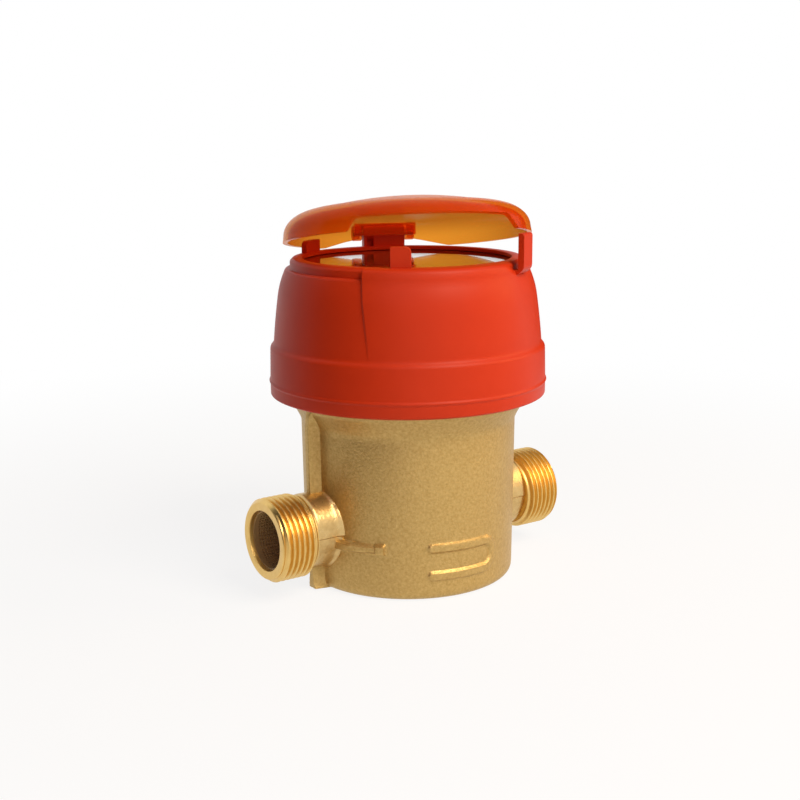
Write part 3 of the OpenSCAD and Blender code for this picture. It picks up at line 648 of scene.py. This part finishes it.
    def can(self) -> MeshData:
        """Can as a thick wall: the turned outline plus the relief, with two holes for the ports."""
        angle = columns(self.turns, self.fine_spans)[:, None]
        radius, height = self.profile().T[:, None, :]
        on_side = (height > 0) & (height < self.flange_z)
        outer = about_z(radius + self.relief(angle, height) * on_side, angle, height)
        wall_r = np.where(height > self.seat_z, self.seat_r, self.cavity_r)
        inner_r = np.broadcast_to(np.minimum(radius, wall_r), outer.shape[:2])
        inner = about_z(inner_r, angle, np.maximum(height, self.base_t))
        centre = outer[:, :-1] + outer[:, 1:]
        centre = (centre + np.roll(centre, -1, axis=0)) / 4
        off = np.hypot(centre[..., 1], centre[..., 2] - self.port_z)
        hole_r = self.bore_r + self.neck_wall / 2
        return thick_shell(outer, inner, (off > hole_r) | (np.abs(centre[..., 0]) < self.cavity_r / 2))

    def port_angles(self) -> Array:
        """Angles round a port's axis, as a column."""
        return (np.arange(self.port_turns) * 360 / self.port_turns)[:, None]

    def neck(self) -> MeshData:
        """Cast neck of the port on the +X side, as one profile carried round the port's axis.

        It starts on the curve of the cavity wall and grows by a fading fillet where it meets the
        can. Its sides are flattened by a share of the cosine squared, and its lower half is set back.

        Returns:
            Vertices in millimetres and faces.
        """
        angle = self.port_angles()
        lift = np.sin(np.radians(angle))
        plain = self.neck_r - self.neck_step * plateau(lift + 1, 1, self.neck_ledge)
        plain = plain - self.neck_flat * (1 - lift**2)
        plain = np.maximum(plain, self.bore_r + self.neck_wall)
        cavity_x = np.sqrt(self.cavity_r**2 - (self.bore_r * np.cos(np.radians(angle))) ** 2)
        can_x = np.sqrt(self.can_r**2 - (plain * np.cos(np.radians(angle))) ** 2) - self.neck_sink
        share = np.linspace(0, 1, 30)[None, :]
        along = cavity_x + (self.thread_x - cavity_x) * share
        fillet = self.neck_fillet * np.exp(-np.maximum(along - can_x, 0) / self.neck_fillet_w)
        end = self.neck_chamfer * smooth_step(along, self.thread_x - self.neck_chamfer_w, self.thread_x)
        flat = np.ones_like(angle)
        along = np.concatenate([along, self.thread_x * flat, cavity_x], axis=1)
        radius = np.concatenate([plain + fillet - end, self.bore_r * flat, self.bore_r * flat], axis=1)
        return ring_shell(about_x(along, radius, angle, self.port_z))

    def thread(self) -> MeshData:
        """Thread, end face and bore of the port on the +X side, as one profile round its axis.

        The thread's depth follows a smoothed triangle wave of the distance along plus the turn.

        Returns:
            Vertices in millimetres and faces.
        """
        angle = self.port_angles()
        end = self.half_length - self.lead_back
        x = np.linspace(self.thread_x, end, 120)[None, :]
        wave = np.abs(2 * ((x / self.pitch - angle / 360) % 1) - 1)
        depth = self.thread_depth * smooth_step(wave, *self.crest_to_root)
        cut = smooth_step(x - self.thread_x, *self.runout)
        radius = (self.thread_r - depth) * cut + (self.neck_r - self.root_drop) * (1 - cut)
        lead = self.lead_drop * smooth_step(x, end - self.lead_w, end)
        radius = np.minimum(radius, self.thread_r - lead)
        far, flat = self.half_length, np.ones_like(angle)
        tail_x, tail_r = np.array([
            (far - 0.25, self.thread_r - 1.0), (far, self.thread_r - 1.25), (far, self.bore_r + 0.5),
            (far - 0.12, self.bore_r + 0.15), (far - 0.5, self.bore_r), (far - 4, self.bore_r),
            (self.thread_x, self.bore_r),
        ]).T
        along = np.concatenate([x * flat, tail_x * flat], axis=1)
        radius = np.concatenate([radius, tail_r * flat], axis=1)
        return ring_shell(about_x(along, radius, angle, self.port_z))

    def build(self) -> None:
        """Make the can and the ports in place of the plain body."""
        add_piece("cast_can", self.can(), Body.METER, CAST_BRASS, ["body"])
        # The necks take the fettled brass, whose lighter colour is painted highlight.
        for part, mesh, finish in (
            ("neck", self.neck(), FETTLED_BRASS_PAINTED_HIGHLIGHT), ("thread", self.thread(), TURNED_BRASS),
        ):
            turned = (mesh[0] * np.array([-1, -1, 1]), mesh[1])
            add_piece(f"outlet_{part}", mesh, Body.METER, finish, ["body"])
            add_piece(f"inlet_{part}", turned, Body.METER, finish, ["body"])


@dataclass
class Strainer:
    """Fine perforated basket in the inlet bore."""

    wall: float = 0.5
    holes_round: int = 52
    holes_along: int = 20
    rim: float = 1.2
    axis_z: float = 19.2

    def build(self) -> None:
        """Punch every second cell of a sleeve with a flat floor, all round the port's axis."""
        low, high = box_mm("inlet_strainer")
        radius = (high[1] - low[1]) / 2
        turns = 2 * self.holes_round
        angle = (np.arange(turns) * 360 / turns)[:, None]
        sleeve = np.linspace(low[0] + self.rim, high[0] - self.rim, 2 * self.holes_along + 1)
        x = np.concatenate([[low[0]], sleeve, [high[0], high[0], high[0]]])[None, :]
        r = np.concatenate([np.full(len(sleeve) + 2, radius), [radius / 2, 0]])[None, :]
        inner_x = np.minimum(x, high[0] - self.wall)
        inner_r = np.maximum(np.minimum(r, radius - self.wall), 0)
        outer = about_x(x, r * np.ones_like(angle), -angle, self.axis_z)
        inner = about_x(inner_x, inner_r * np.ones_like(angle), -angle, self.axis_z)
        row = np.arange(x.shape[1] - 1)[None, :]
        column = np.arange(turns)[:, None]
        in_sleeve = (row > 0) & (row <= 2 * self.holes_along)
        keep = ~(in_sleeve & (row % 2 == 0) & (column % 2 == 0))
        shell = thick_shell(outer[::-1], inner[::-1], keep)
        add_piece("strainer_basket", shell, Body.METER, STRAINER_PLASTIC, ["inlet_strainer"])


@dataclass
class HingeFrame:
    """Axes at the lid's hinge: X outwards, Y along the pin and Z up."""

    angle: float = 67.3
    radius: float = 37.2
    height: float = 107.8

    @property
    def origin(self) -> Array:
        """Point on the hinge axis, half way along the pin."""
        return about_z(np.array(self.radius), np.array(self.angle), np.array(self.height))

    @property
    def axes(self) -> Array:
        """Rows for X, Y and Z."""
        return radial_axes(self.angle)

    def across(self, outline: Array, start: float, end: float) -> MeshData:
        """Pull an outline in the upright plane through the hinge along the pin.

        Args:
            outline: Counter-clockwise points, outwards and up.
            start: Place of one end along the pin.
            end: Place of the other end.

        Returns:
            Vertices in the frame and faces.
        """
        x_axis, y_axis, z_axis = self.axes
        return moved(prism(outline, -end, -start), np.array([x_axis, z_axis, -y_axis]), self.origin)


@dataclass
class Shroud:
    """Red moulded cover with a stepped skirt, a dome, a raised front panel, tabs and a hinge tower."""

    hinge: HingeFrame
    skirt_r: float = 44.75
    shoulder_z: float = 75.4
    dome_z: float = 77.4
    dome_r: float = 42.9
    dome_bulge: float = 0.26
    top_ease: float = 1.0
    ease_from: float = 0.65
    lip_drop: float = 0.8
    lip_r: float = 40.1
    lip_z: float = 100.2
    rim_r: float = 37.3
    rim_z: float = 103.5
    rim_edge: float = 1.0
    view_r: float = 33.2
    view_t: float = 1.2
    seat_r: float = 35.6
    cup_drop: float = 7.9
    cup_floor: float = 3.0
    foot_t: float = 1.6
    wall: float = 2.2
    bottom_z: float = 59.5
    low_in: float = 38.3
    skirt_in: float = 41.9
    panel_from: float = 214.4
    panel_to: float = 291.0
    panel_out: float = 0.7
    panel_lean: float = 4.4
    panel_fade: float = 9.0
    panel_edge: float = 0.35
    panel_focus: float = 12.0
    panel_power: float = 0.6
    tab_sink: float = 0.6
    tab_w: float = 6.2
    back_tab_w: float = 9.0
    tab_t: float = 2.0
    front_tab_top: float = 109.76
    back_tab_top: float = 107.36
    side_tab_top: float = 112.2
    side_tab_w: float = 6.4
    side_tab_in: float = 39.8
    side_tab_sink: float = 0.5
    side_tab_step: float = 1.4
    tab_in: float = 34.0
    front_tab_a: float = 231.3
    back_tab_a: float = 119.0
    side_tab_a: float = 296.0
    knuckle_r: float = 2.9
    tower_w: float = 14.2
    barrel_share: float = 0.97
    barrel_back: float = 0.5
    web_out: float = 1.2
    web_drop: float = 2.64
    plate_depth: float = 1.0
    plate_drop: float = 8.0
    plate_end: float = 0.02
    slot_w: float = 2.2
    slot_end: float = 1.0
    turns: int = 420

    def dome_at(self, z: Array) -> Array:
        """Radius of the dome: a straight taper plus a parabola bulge, eased in towards the lip."""
        s = (z - self.dome_z) / (self.lip_z - self.lip_drop - self.dome_z)
        ease = self.top_ease * np.clip((s - self.ease_from) / (1 - self.ease_from), 0, 1) ** 2
        return self.dome_r + (self.lip_r - self.dome_r) * s + 4 * self.dome_bulge * s * (1 - s) - ease

    def section(self, panel: bool) -> Array:
        """Closed half section, with the lip and groove or with the raised panel.

        Args:
            panel: Whether the panel is there.

        Returns:
            Corners as radius, height and rounding.
        """
        z0, r0 = self.bottom_z, self.skirt_r
        rise = np.linspace(self.dome_z, self.lip_z - self.lip_drop, 15)
        grow = ((rise - rise[0]) / (rise[-1] - rise[0])) ** self.panel_power
        dome = self.dome_at(rise) + (self.panel_out * grow if panel else 0)
        skirt = [
            (self.low_in, z0, 0.2), (r0 - 2, z0, 0.4), (r0 - 0.45, z0 + 0.7, 0.4),
            (r0 - 0.42, z0 + 4.3, 0.2), (r0, z0 + 5, 0.3), (r0 - 0.42, z0 + 5.7, 0.2),
            (r0 - 0.65, self.shoulder_z, 0.7), (self.dome_r + 0.15, self.dome_z - 0.9, 0.5),
        ]
        lip = [
            (self.lip_r - self.top_ease - 0.4, self.lip_z, 0.5), (self.rim_r, self.lip_z, 0.25),
            (self.rim_r, self.rim_z - self.rim_edge, 0.3), (self.rim_r - self.rim_edge, self.rim_z, 0.3),
        ]
        crest = self.lip_r - self.top_ease + self.panel_out
        swell = [
            (crest - 0.2, self.rim_z - 2.4, 0.6), (crest - 0.6, self.rim_z - 0.9, 0.5),
            (crest - 1.6, self.rim_z - 0.05, 0.5), (self.rim_r - self.rim_edge, self.rim_z, 0.3),
        ]
        cup_z = self.rim_z - self.cup_drop
        inside = np.linspace(cup_z - self.cup_floor, self.dome_z, 5)
        bottom = [
            (self.view_r, self.rim_z, 0.3), (self.view_r, self.rim_z - self.view_t, 0.2),
            (self.seat_r, self.rim_z - self.view_t, 0.1), (self.seat_r, cup_z, 0.1),
        ]
        close = [
            (self.skirt_in, self.shoulder_z - 2, 0.2), (self.skirt_in, z0 + self.foot_t, 0.2),
            (self.low_in, z0 + self.foot_t, 0.2),
        ]
        plain = np.zeros_like(inside)
        return np.concatenate([
            np.array(skirt),
            np.column_stack([dome, rise, np.zeros_like(rise)]),
            np.array(swell if panel else lip),
            np.array(bottom),
            np.column_stack([self.dome_at(inside) - self.wall, inside, plain]),
            np.array(close),
        ])

    def shell(self) -> MeshData:
        """Cover wall: the two sections mixed by angle and carried round the axis.

        The panel starts at a crisp edge that leans with the height, and fades out at its other end.

        Returns:
            Vertices in millimetres and faces.
        """
        edge_span = (self.panel_from - 1, self.panel_from + self.panel_lean + 1, self.panel_focus)
        angle = columns(self.turns, [edge_span])[:, None]
        lip, panel = rounded(self.section(False)), rounded(self.section(True))
        low = np.clip((self.lip_z - lip[:, 1]) / (self.lip_z - self.dome_z), 0, 1)
        start = (self.panel_from + self.panel_lean * low)[None]
        share = smooth_step(angle - start, -self.panel_edge, self.panel_edge)
        share = share * (1 - smooth_step(angle - self.panel_to, -self.panel_fade, self.panel_fade))
        mix = lip[None] + (panel - lip)[None] * share[..., None]
        return ring_shell(about_z(mix[..., 0], angle, mix[..., 1]))

    def tab(self, angle: float, width: float, top: float) -> MeshData:
        """Upright tab on the rim with one rounded top corner, pulled outwards by its thickness."""
        half, foot = width / 2, self.rim_z - self.tab_sink
        outline = rounded(np.array([
            (-half, foot, 0), (half, foot, 0), (half, top, 2), (-half, top, 0.5),
        ]), 6)
        out, along, up = radial_axes(angle)
        axes = np.array([along, up, out])
        return moved(prism(outline, self.tab_in, self.tab_in + self.tab_t), axes, np.zeros(3))

    def side_tab(self) -> MeshData:
        """Tab that grows out of the dome beside the lid, as a section pulled along the rim."""
        inner, foot, top = self.side_tab_in, self.lip_z - self.side_tab_sink, self.side_tab_top
        half, step = self.side_tab_w / 2, foot + self.side_tab_step
        outline = rounded(np.array([
            (self.lip_r - self.wall, foot, 0), (self.lip_r - 0.6, foot, 0.5),
            (inner + self.tab_t, foot + 1.6, 1.5), (inner + self.tab_t, top, 0.9),
            (inner, top, 0.2), (inner, step, 0.2), (self.lip_r - self.wall, step, 0),
        ]), 5)
        out, along, up = radial_axes(self.side_tab_a)
        return moved(prism(outline, -half, half), np.array([out, up, -along]), np.zeros(3))

    def tower(self) -> MeshData:
        """Slotted web with a knuckle, a barrel and an outer plate, all pulled along the hinge pin."""
        foot, half = self.rim_z - self.tab_sink - self.hinge.height, self.tower_w / 2
        turn = np.radians(np.linspace(0, 180, 19))
        knuckle = self.knuckle_r * np.column_stack([np.cos(turn), np.sin(turn)])
        out, low = self.web_out, -self.plate_drop
        web = np.concatenate([knuckle, [(-self.knuckle_r, foot), (out, foot), (out, -self.web_drop)]])
        plate = np.array([(-self.plate_depth, low), (out, low), (out, 0), (-self.plate_depth, 0)])
        circle = np.radians(np.arange(48) * 7.5)
        barrel = self.barrel_share * self.knuckle_r * np.column_stack([np.cos(circle), np.sin(circle)])
        slot = half - self.slot_w - self.slot_end
        return joined([
            self.hinge.across(web, -half, slot),
            self.hinge.across(web, slot + self.slot_w, half),
            self.hinge.across(barrel, slot - self.barrel_back, half - self.barrel_back),
            self.hinge.across(plate, -half + self.plate_end, half - self.plate_end),
        ])

    def build(self) -> None:
        """Make the cover, its tabs and its hinge tower in place of the plain shroud."""
        add_piece("shroud_cover", self.shell(), Body.HEAD, SHROUD_RED, ["shroud"], sharp=30)
        tabs = joined([
            self.tab(self.front_tab_a, self.tab_w, self.front_tab_top),
            self.tab(self.back_tab_a, self.back_tab_w, self.back_tab_top),
            self.side_tab(),
        ])
        add_piece("shroud_tabs", tabs, Body.HEAD, SHROUD_RED, ["shroud"], bevel=0.25)
        add_piece("hinge_tower", self.tower(), Body.HEAD, SHROUD_RED, ["shroud"], bevel=0.2)


@dataclass
class Lid:
    """Clear orange lid: a domed disc with a skirt that is cut away in front and over the hinge."""

    hinge: HingeFrame
    opening: float = 10.0
    radius: float = 39.4
    bottom_z: float = 102.5
    skirt_h: float = 2.0
    draft: float = 0.3
    shoulder_w: float = 11.0
    shoulder_h: float = 7.7
    crown: float = 3.2
    wall: float = 1.5
    cut_from: tuple[float, float] = (206.4, 212.0)
    cut_to: tuple[float, float] = (285.0, 294.6)
    cut_h: float = 4.4
    relief_half: float = 34.0
    relief_h: float = 3.6
    slot_half: float = 12.9
    slot_in: float = 33.9
    slot_soft: float = 0.2
    slot_focus: tuple[float, float] = (0.3, 30.0)
    leg_gap: float = 7.6
    leg_w: float = 3.0
    leg_r: float = 2.6
    leg_sink: float = 0.4
    bar: tuple[tuple[float, float], ...] = ((-5.0, -1.2), (-3.8, -1.2), (-3.8, 2.6), (-5.0, 2.9))
    turns: int = 480
    rows: int = 44

    @property
    def edge(self) -> float:
        """Radius at which the shoulder runs into the crown."""
        return self.radius - self.draft - self.shoulder_w

    def height_at(self, radius: float) -> float:
        """Height of the outside above the lower edge, at a radius in the shoulder's ellipse."""
        share = (radius - self.edge) / self.shoulder_w
        return self.skirt_h + self.shoulder_h * float(np.sqrt(1 - share**2))

    def section(self, inset: float) -> Array:
        """Radius and height along the wall: straight skirt, quarter ellipse, then a parabola.

        Args:
            inset: Distance inwards from the outside.

        Returns:
            Rows of radius and height, from the lower edge to the middle.
        """
        turn = np.radians(np.linspace(0, 90, 61))
        s = np.linspace(1, 0, 40)[1:]
        top = self.skirt_h + self.shoulder_h - inset
        return np.concatenate([
            [(self.radius - inset, 0.0)],
            np.column_stack([
                self.edge + (self.shoulder_w - inset) * np.cos(turn),
                self.skirt_h + (self.shoulder_h - inset) * np.sin(turn),
            ]),
            np.column_stack([self.edge * s, top + self.crown * (1 - s**2)]),
        ])

    def lower_edge(self, angle: Array) -> Array:
        """Height of the skirt's lower edge above its lowest line.

        The front cut rises and falls along smooth steps, the relief falls straight from the hinge
        slot to both sides, and the slot is a plateau.

        Args:
            angle: Angles round the lid.

        Returns:
            Heights in millimetres.
        """
        front = smooth_step(angle, *self.cut_from) * (1 - smooth_step(angle, *self.cut_to))
        off = angle_off(angle, self.hinge.angle)
        relief = np.clip((self.relief_half - np.abs(off)) / (self.relief_half - self.slot_half), 0, 1)
        slot = plateau(off, self.slot_half, self.slot_soft)
        high = self.height_at(self.slot_in)
        return np.maximum.reduce([self.cut_h * front, self.relief_h * relief, high * slot])

    def skin(self, angle: Array, inset: float) -> Array:
        """Skin of the lid: at each angle the section from the lower edge there up to the middle.

        Args:
            angle: Angles round the lid, as a column.
            inset: Distance inwards from the outside.

        Returns:
            Points of shape turns, rows, 3.
        """
        section, outside = self.section(inset), self.section(0)
        length = np.concatenate([[0], np.cumsum(np.hypot(*np.diff(section, axis=0).T))])
        station = np.interp(self.lower_edge(angle), outside[:, 1], np.arange(len(outside)))
        start = np.interp(station, np.arange(len(section)), length)
        along = start + (length[-1] - start) * np.linspace(0, 1, self.rows)[None, :]
        radius = np.interp(along, length, section[:, 0])
        height = np.interp(along, length, section[:, 1])
        return about_z(radius, angle, height + self.bottom_z)

    def opened(self, mesh: MeshData) -> MeshData:
        """Turn a mesh of the closed lid about the hinge pin to where the lid stands."""
        turn = np.array(Matrix.Rotation(np.radians(self.opening), 3, self.hinge.axes[1]))
        return (mesh[0] - self.hinge.origin) @ turn.T + self.hinge.origin, mesh[1]

    def legs(self) -> MeshData:
        """Two hinge legs, each an eye with a shoulder up to the lid, and the bar between them."""
        turn = np.radians(np.linspace(180, 450, 28))
        eye = self.leg_r * np.column_stack([np.cos(turn), np.sin(turn)])
        high = self.bottom_z + self.height_at(self.hinge.radius - self.leg_r / 2) - self.leg_sink
        outline = np.concatenate([eye, [(-self.leg_r, high - self.hinge.height)]])
        near, far = self.leg_gap, self.leg_gap + self.leg_w
        bar = np.array(self.bar)
        return joined([
            self.hinge.across(outline, near, far),
            self.hinge.across(outline, -far, -near),
            self.hinge.across(bar, -far, far),
        ])

    def build(self) -> None:
        """Make the lid and its hinge legs in place of the plain lid."""
        ends = [self.hinge.angle - self.slot_half, self.hinge.angle + self.slot_half]
        near, weight = self.slot_focus
        angle = columns(self.turns, [(end - near, end + near, weight) for end in ends])[:, None]
        shell = thick_shell(self.skin(angle, 0), self.skin(angle, self.wall))
        add_piece("lid_shell", self.opened(shell), Body.LID, LID_ORANGE, ["lid"], sharp=40)
        # The legs take the lid's polycarbonate with a lighter base colour, painted light for the shade
        # under the lid.
        add_piece("lid_legs", self.opened(self.legs()), Body.LID, LEG_ORANGE_PAINTED_LIGHT, ["lid"], bevel=0.25)


@dataclass
class DialFace:
    """Printing of the five small dials: tick marks, rings and figures on the dial plate."""

    ring_r: float = 14.971
    first_a: float = 90.0
    zero_a: float = 90.0
    dials: int = 5
    red_dials: int = 3
    tick_start: float = 5.9
    tick_end: float = 6.8
    figure_r: float = 7.75
    figure_size: float = 1.9
    ink: float = 0.05
    line: float = 0.16
    border_r: float = 32.4
    ring_turns: int = 72

    def bar(self, inner: float, outer: float) -> MeshData:
        """Flat ink bar along X between two radii."""
        half = self.line / 2
        outline = np.array([(inner, -half), (outer, -half), (outer, half), (inner, half)])
        return prism(outline, 0, self.ink)

    def ring(self, radius: float) -> MeshData:
        """Ink ring: a rectangle carried round the axis."""
        angle = np.arange(self.ring_turns)[:, None] * 360 / self.ring_turns
        r = radius + self.line / 2 * np.array([[-1, 1, 1, -1]])
        z = self.ink * np.array([[0, 0, 1, 1]])
        return ring_shell(about_z(r * np.ones_like(angle), angle, z * np.ones_like(angle)))

    def figure(self, digit: int) -> MeshData:
        """Mesh of a figure from the built-in font, centred at the origin."""
        curve = bpy.data.curves.new("figure", "FONT")
        curve.body, curve.size, curve.extrude = str(digit), self.figure_size, self.ink / 2
        curve.align_x, curve.align_y, curve.resolution_u = "CENTER", "CENTER", 2
        letter = bpy.data.objects.new("figure", curve)
        mesh = bpy.data.meshes.new_from_object(letter)
        points = np.zeros(len(mesh.vertices) * 3)
        mesh.vertices.foreach_get("co", points)
        faces = [list(polygon.vertices) for polygon in mesh.polygons]
        bpy.data.objects.remove(letter)
        bpy.data.curves.remove(curve)
        bpy.data.meshes.remove(mesh)
        return points.reshape(-1, 3) + np.array([0, 0, self.ink / 2]), faces

    def dial(self, figures: Sequence[MeshData]) -> MeshData:
        """One small dial at the origin: ten ticks, a ring and the figures from 0 to 9."""
        parts = [self.ring(self.tick_start)]
        for step, figure in enumerate(figures):
            axes = radial_axes(self.zero_a - 360 / len(figures) * step)
            parts.append(moved(self.bar(self.tick_start, self.tick_end), axes, np.zeros(3)))
            parts.append((figure[0] + self.figure_r * axes[0], figure[1]))
        return joined(parts)

    def build(self) -> None:
        """Print the dials on the plate, the fast ones in red and the slow ones in black."""
        top = box_mm("dial_plate")[1][2]
        face = self.dial([self.figure(digit) for digit in range(10)])
        angle = self.first_a + 360 / self.dials * np.arange(self.dials)
        places = about_z(np.full(self.dials, self.ring_r), angle, np.full(self.dials, top))
        dials = [(face[0] + place, face[1]) for place in places]
        border = moved(self.ring(self.border_r), np.eye(3), np.array([0, 0, top]))
        add_piece("dial_print_red", joined(dials[: self.red_dials]), Body.HEAD, INK_RED)
        add_piece("dial_print_black", joined([*dials[self.red_dials :], border]), Body.HEAD, INK_BLACK)


NODE_FINISHES: dict[str, Finish] = {
    "chamber_seal": SEAL_RUBBER,
    "measuring_chamber": CHAMBER_PLASTIC,
    "partition_plate": STEEL,
    "rotary_piston": PISTON_PLASTIC,
    "chamber_lid": CHAMBER_PLASTIC,
    "magnet_carrier": PISTON_PLASTIC,
    "drive_magnet": FERRITE,
    "pressure_plate": PLATE_PLASTIC,
    "plate_seal": SEAL_RUBBER,
    "clamp_ring": CLAMP_BRASS,
    "register_cup": COPPER,
    "low_plate": FRAME_PLASTIC,
    "bridge_plate": FRAME_PLASTIC,
    "frame_pillars": STEEL,
    "follower_spindle": PISTON_PLASTIC,
    "follower_magnet": FERRITE,
    "top_plate": FRAME_PLASTIC,
    "dial_plate": DIAL_WHITE,
    "window_gasket": SEAL_RUBBER,
    "window": WINDOW_GLASS,
    "hinge_pin": STEEL,
    **{f"dial_arbor_{i}": GEAR_PLASTIC for i in range(1, 6)},
    **{f"pointer_{i}": NEEDLE_RED for i in range(1, 4)},
    **{f"pointer_{i}": NEEDLE_BLACK for i in range(4, 6)},
}


def dress_nodes() -> None:
    """Give each solid that stays its finish."""
    for name, finish in NODE_FINISHES.items():
        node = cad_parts[name]
        node.data.materials.clear()
        node.data.materials.append(finish.material())
        log.info("node %s: %s", name, finish.name)


@dataclass
class Studio:
    """Pale floor, white surroundings, soft lamps and the camera."""

    lens: float = 60.0
    sensor: float = 36.0
    clip_m: tuple[float, float] = (0.01, 50.0)
    distance: float = 449.366
    elevation: float = 19.115
    yaw: float = -0.347
    pitch: float = 12.040
    roll: float = -0.414
    turn: float = -35.684
    floor_half: float = 6000.0
    fade_mm: tuple[float, float] = (90.0, 420.0)
    near_white: float = 0.84
    sky: float = 0.3
    aim_z: float = 55.0
    lamp_away: float = 900.0

    def camera_axes(self) -> tuple[Array, Array]:
        """Axes of the camera as rows for right, up and backwards, and its place in millimetres."""
        e, y, p, k = np.radians([self.elevation, self.yaw, self.pitch, self.roll])
        forward = np.array([np.sin(y) * np.cos(p), np.cos(y) * np.cos(p), -np.sin(p)])
        level = np.array([np.cos(y), -np.sin(y), 0])
        upright = np.cross(level, forward)
        right = np.cos(k) * level + np.sin(k) * upright
        above = np.cos(k) * upright - np.sin(k) * level
        about = radial_axes(self.turn)
        place = self.distance * np.array([0, -np.cos(e), np.sin(e)])
        return np.array([right, above, -forward]) @ about, place @ about

    def camera(self) -> None:
        """Set the camera where the photograph was taken from."""
        data = bpy.data.cameras.new("photo_camera")
        data.lens, data.sensor_width = self.lens, self.sensor
        data.clip_start, data.clip_end = self.clip_m
        camera = bpy.data.objects.new("photo_camera", data)
        place_in_scene(camera, *self.camera_axes())
        bpy.context.scene.camera = camera

    def lamp(
        self, name: str, azimuth: float, height: float, size: float, watts: float, tint: str
    ) -> None:
        """Hang a soft square lamp round the object, aimed at its middle.

        Args:
            name: Name of the lamp.
            azimuth: Direction from the object, from +X.
            height: Elevation above the horizon.
            size: Side of the lamp.
            watts: Power.
            tint: Colour of its light.
        """
        data = bpy.data.lights.new(name, "AREA")
        data.shape, data.size, data.energy, data.color = "SQUARE", size * MM, watts, linear(tint)[:3]
        out, along, up = radial_axes(azimuth)
        back = np.cos(np.radians(height)) * out + np.sin(np.radians(height)) * up
        axes = np.array([along, np.cross(back, along), back])
        lamp = bpy.data.objects.new(name, data)
        place_in_scene(lamp, axes, self.aim_z * up + self.lamp_away * back)

    def sheet(self, name: str, corners: Array, material: bpy.types.Material) -> bpy.types.Object:
        """Add a flat sheet with four corners in millimetres that belongs to the studio."""
        mesh = bpy.data.meshes.new(name)
        mesh.from_pydata((corners * MM).tolist(), [], [(0, 1, 2, 3)])
        mesh.materials.append(material)
        sheet = bpy.data.objects.new(name, mesh)
        bpy.context.scene.collection.objects.link(sheet)
        return sheet

    def card(
        self, name: str, azimuth: float, distance: float, size: tuple[float, float], shade: str
    ) -> None:
        """Stand a dark card beside the object, which only reflections and soft light meet.

        Args:
            name: Name of the card.
            azimuth: Direction from the object, from +X.
            distance: Distance from the object's axis.
            size: Width and height.
            shade: Colour of the card.
        """
        out, along, up = radial_axes(azimuth)
        middle, side, rise = distance * out, size[0] / 2 * along, size[1] * up
        corners = np.array([middle - side, middle + side, middle + side + rise, middle - side + rise])
        material = bpy.data.materials.new(name)
        tree = bare_tree(material)
        paint = add_node(tree, "BsdfDiffuse", {"Color": linear(shade)})
        add_node(tree, "OutputMaterial", {"Surface": paint[0]})
        card = self.sheet(name, corners, material)
        card.visible_camera = card.visible_shadow = card.visible_transmission = False

    def seen(self, tree: bpy.types.NodeTree) -> bpy.types.NodeSocket:
        """Give 1 for a ray from the camera, a reflection or glass, and 0 for other light."""
        rays = add_node(tree, "LightPath", {})
        direct = {"0": rays["Is Camera Ray"], "1": rays["Is Glossy Ray"]}
        total = add_node(tree, "Math", direct, operation="ADD")[0]
        through = {"0": total, "1": rays["Is Transmission Ray"]}
        return add_node(tree, "Math", through, operation="ADD", use_clamp=True)[0]

    def floor(self) -> None:
        """Lay a pale floor that keeps the object's soft shadow and fades to white further off."""
        material = bpy.data.materials.new("pale_paper")
        tree = bare_tree(material)
        place = add_node(tree, "TexCoord", {})["Object"]
        away = add_node(tree, "VectorMath", {"0": place}, operation="LENGTH")["Value"]
        near, far = np.array(self.fade_mm) * MM
        fade = {
            "Value": away, "From Min": near, "From Max": far, "To Min": self.near_white, "To Max": 1.0,
        }
        white = add_node(tree, "MapRange", fade, interpolation_type="SMOOTHSTEP")[0]
        share = add_node(tree, "Math", {"0": self.seen(tree), "1": white}, operation="MULTIPLY")
        paper = add_node(tree, "BsdfDiffuse", {"Color": linear("#F4F4F3")})
        glow = add_node(tree, "Emission", {"Color": linear("#FFFFFF"), "Strength": 1.0})
        layers = {"0": share[0], "1": paper[0], "2": glow[0]}
        mix = add_node(tree, "MixShader", layers)
        add_node(tree, "OutputMaterial", {"Surface": mix[0]})
        corners = self.floor_half * np.array([(-1, -1, 0), (1, -1, 0), (1, 1, 0), (-1, 1, 0)])
        self.sheet("floor", corners, material)

    def world(self) -> None:
        """Soft grey light from all round, white where the camera, a reflection or glass looks at it."""
        world = bpy.data.worlds.new("studio")
        bpy.context.scene.world = world
        tree = bare_tree(world)
        soft = add_node(tree, "Background", {"Color": linear("#F2F4F6"), "Strength": self.sky})
        white = add_node(tree, "Background", {"Color": linear("#FFFFFF"), "Strength": 1.0})
        layers = {"0": self.seen(tree), "1": soft[0], "2": white[0]}
        add_node(tree, "OutputWorld", {"Surface": add_node(tree, "MixShader", layers)[0]})

    def build(self) -> None:
        """Set up the floor, the light and the camera."""
        bpy.context.scene.view_settings.view_transform = "Standard"
        self.world()
        self.floor()
        self.card("left_card", 190, 260, (420, 420), "#1A1614")
        self.card("back_card", 20, 420, (300, 420), "#2A2420")
        self.lamp("key_lamp", 280, 44, 500, 7.0, "#FFF0DC")
        self.lamp("right_lamp", 328, 22, 400, 2.3, "#FFC880")
        self.lamp("fill_lamp", 225, 28, 400, 1.0, "#FFD2DA")
        self.camera()


def main() -> None:
    """Build the pieces in order, then the studio."""
    logging.basicConfig(level=logging.INFO, format="%(name)s: %(message)s")
    hinge = HingeFrame()
    for assembly in (BrassBody(), Strainer(), Shroud(hinge), Lid(hinge), DialFace()):
        assembly.build()
    dress_nodes()
    Studio().build()


if __name__ == "__main__":
    main()
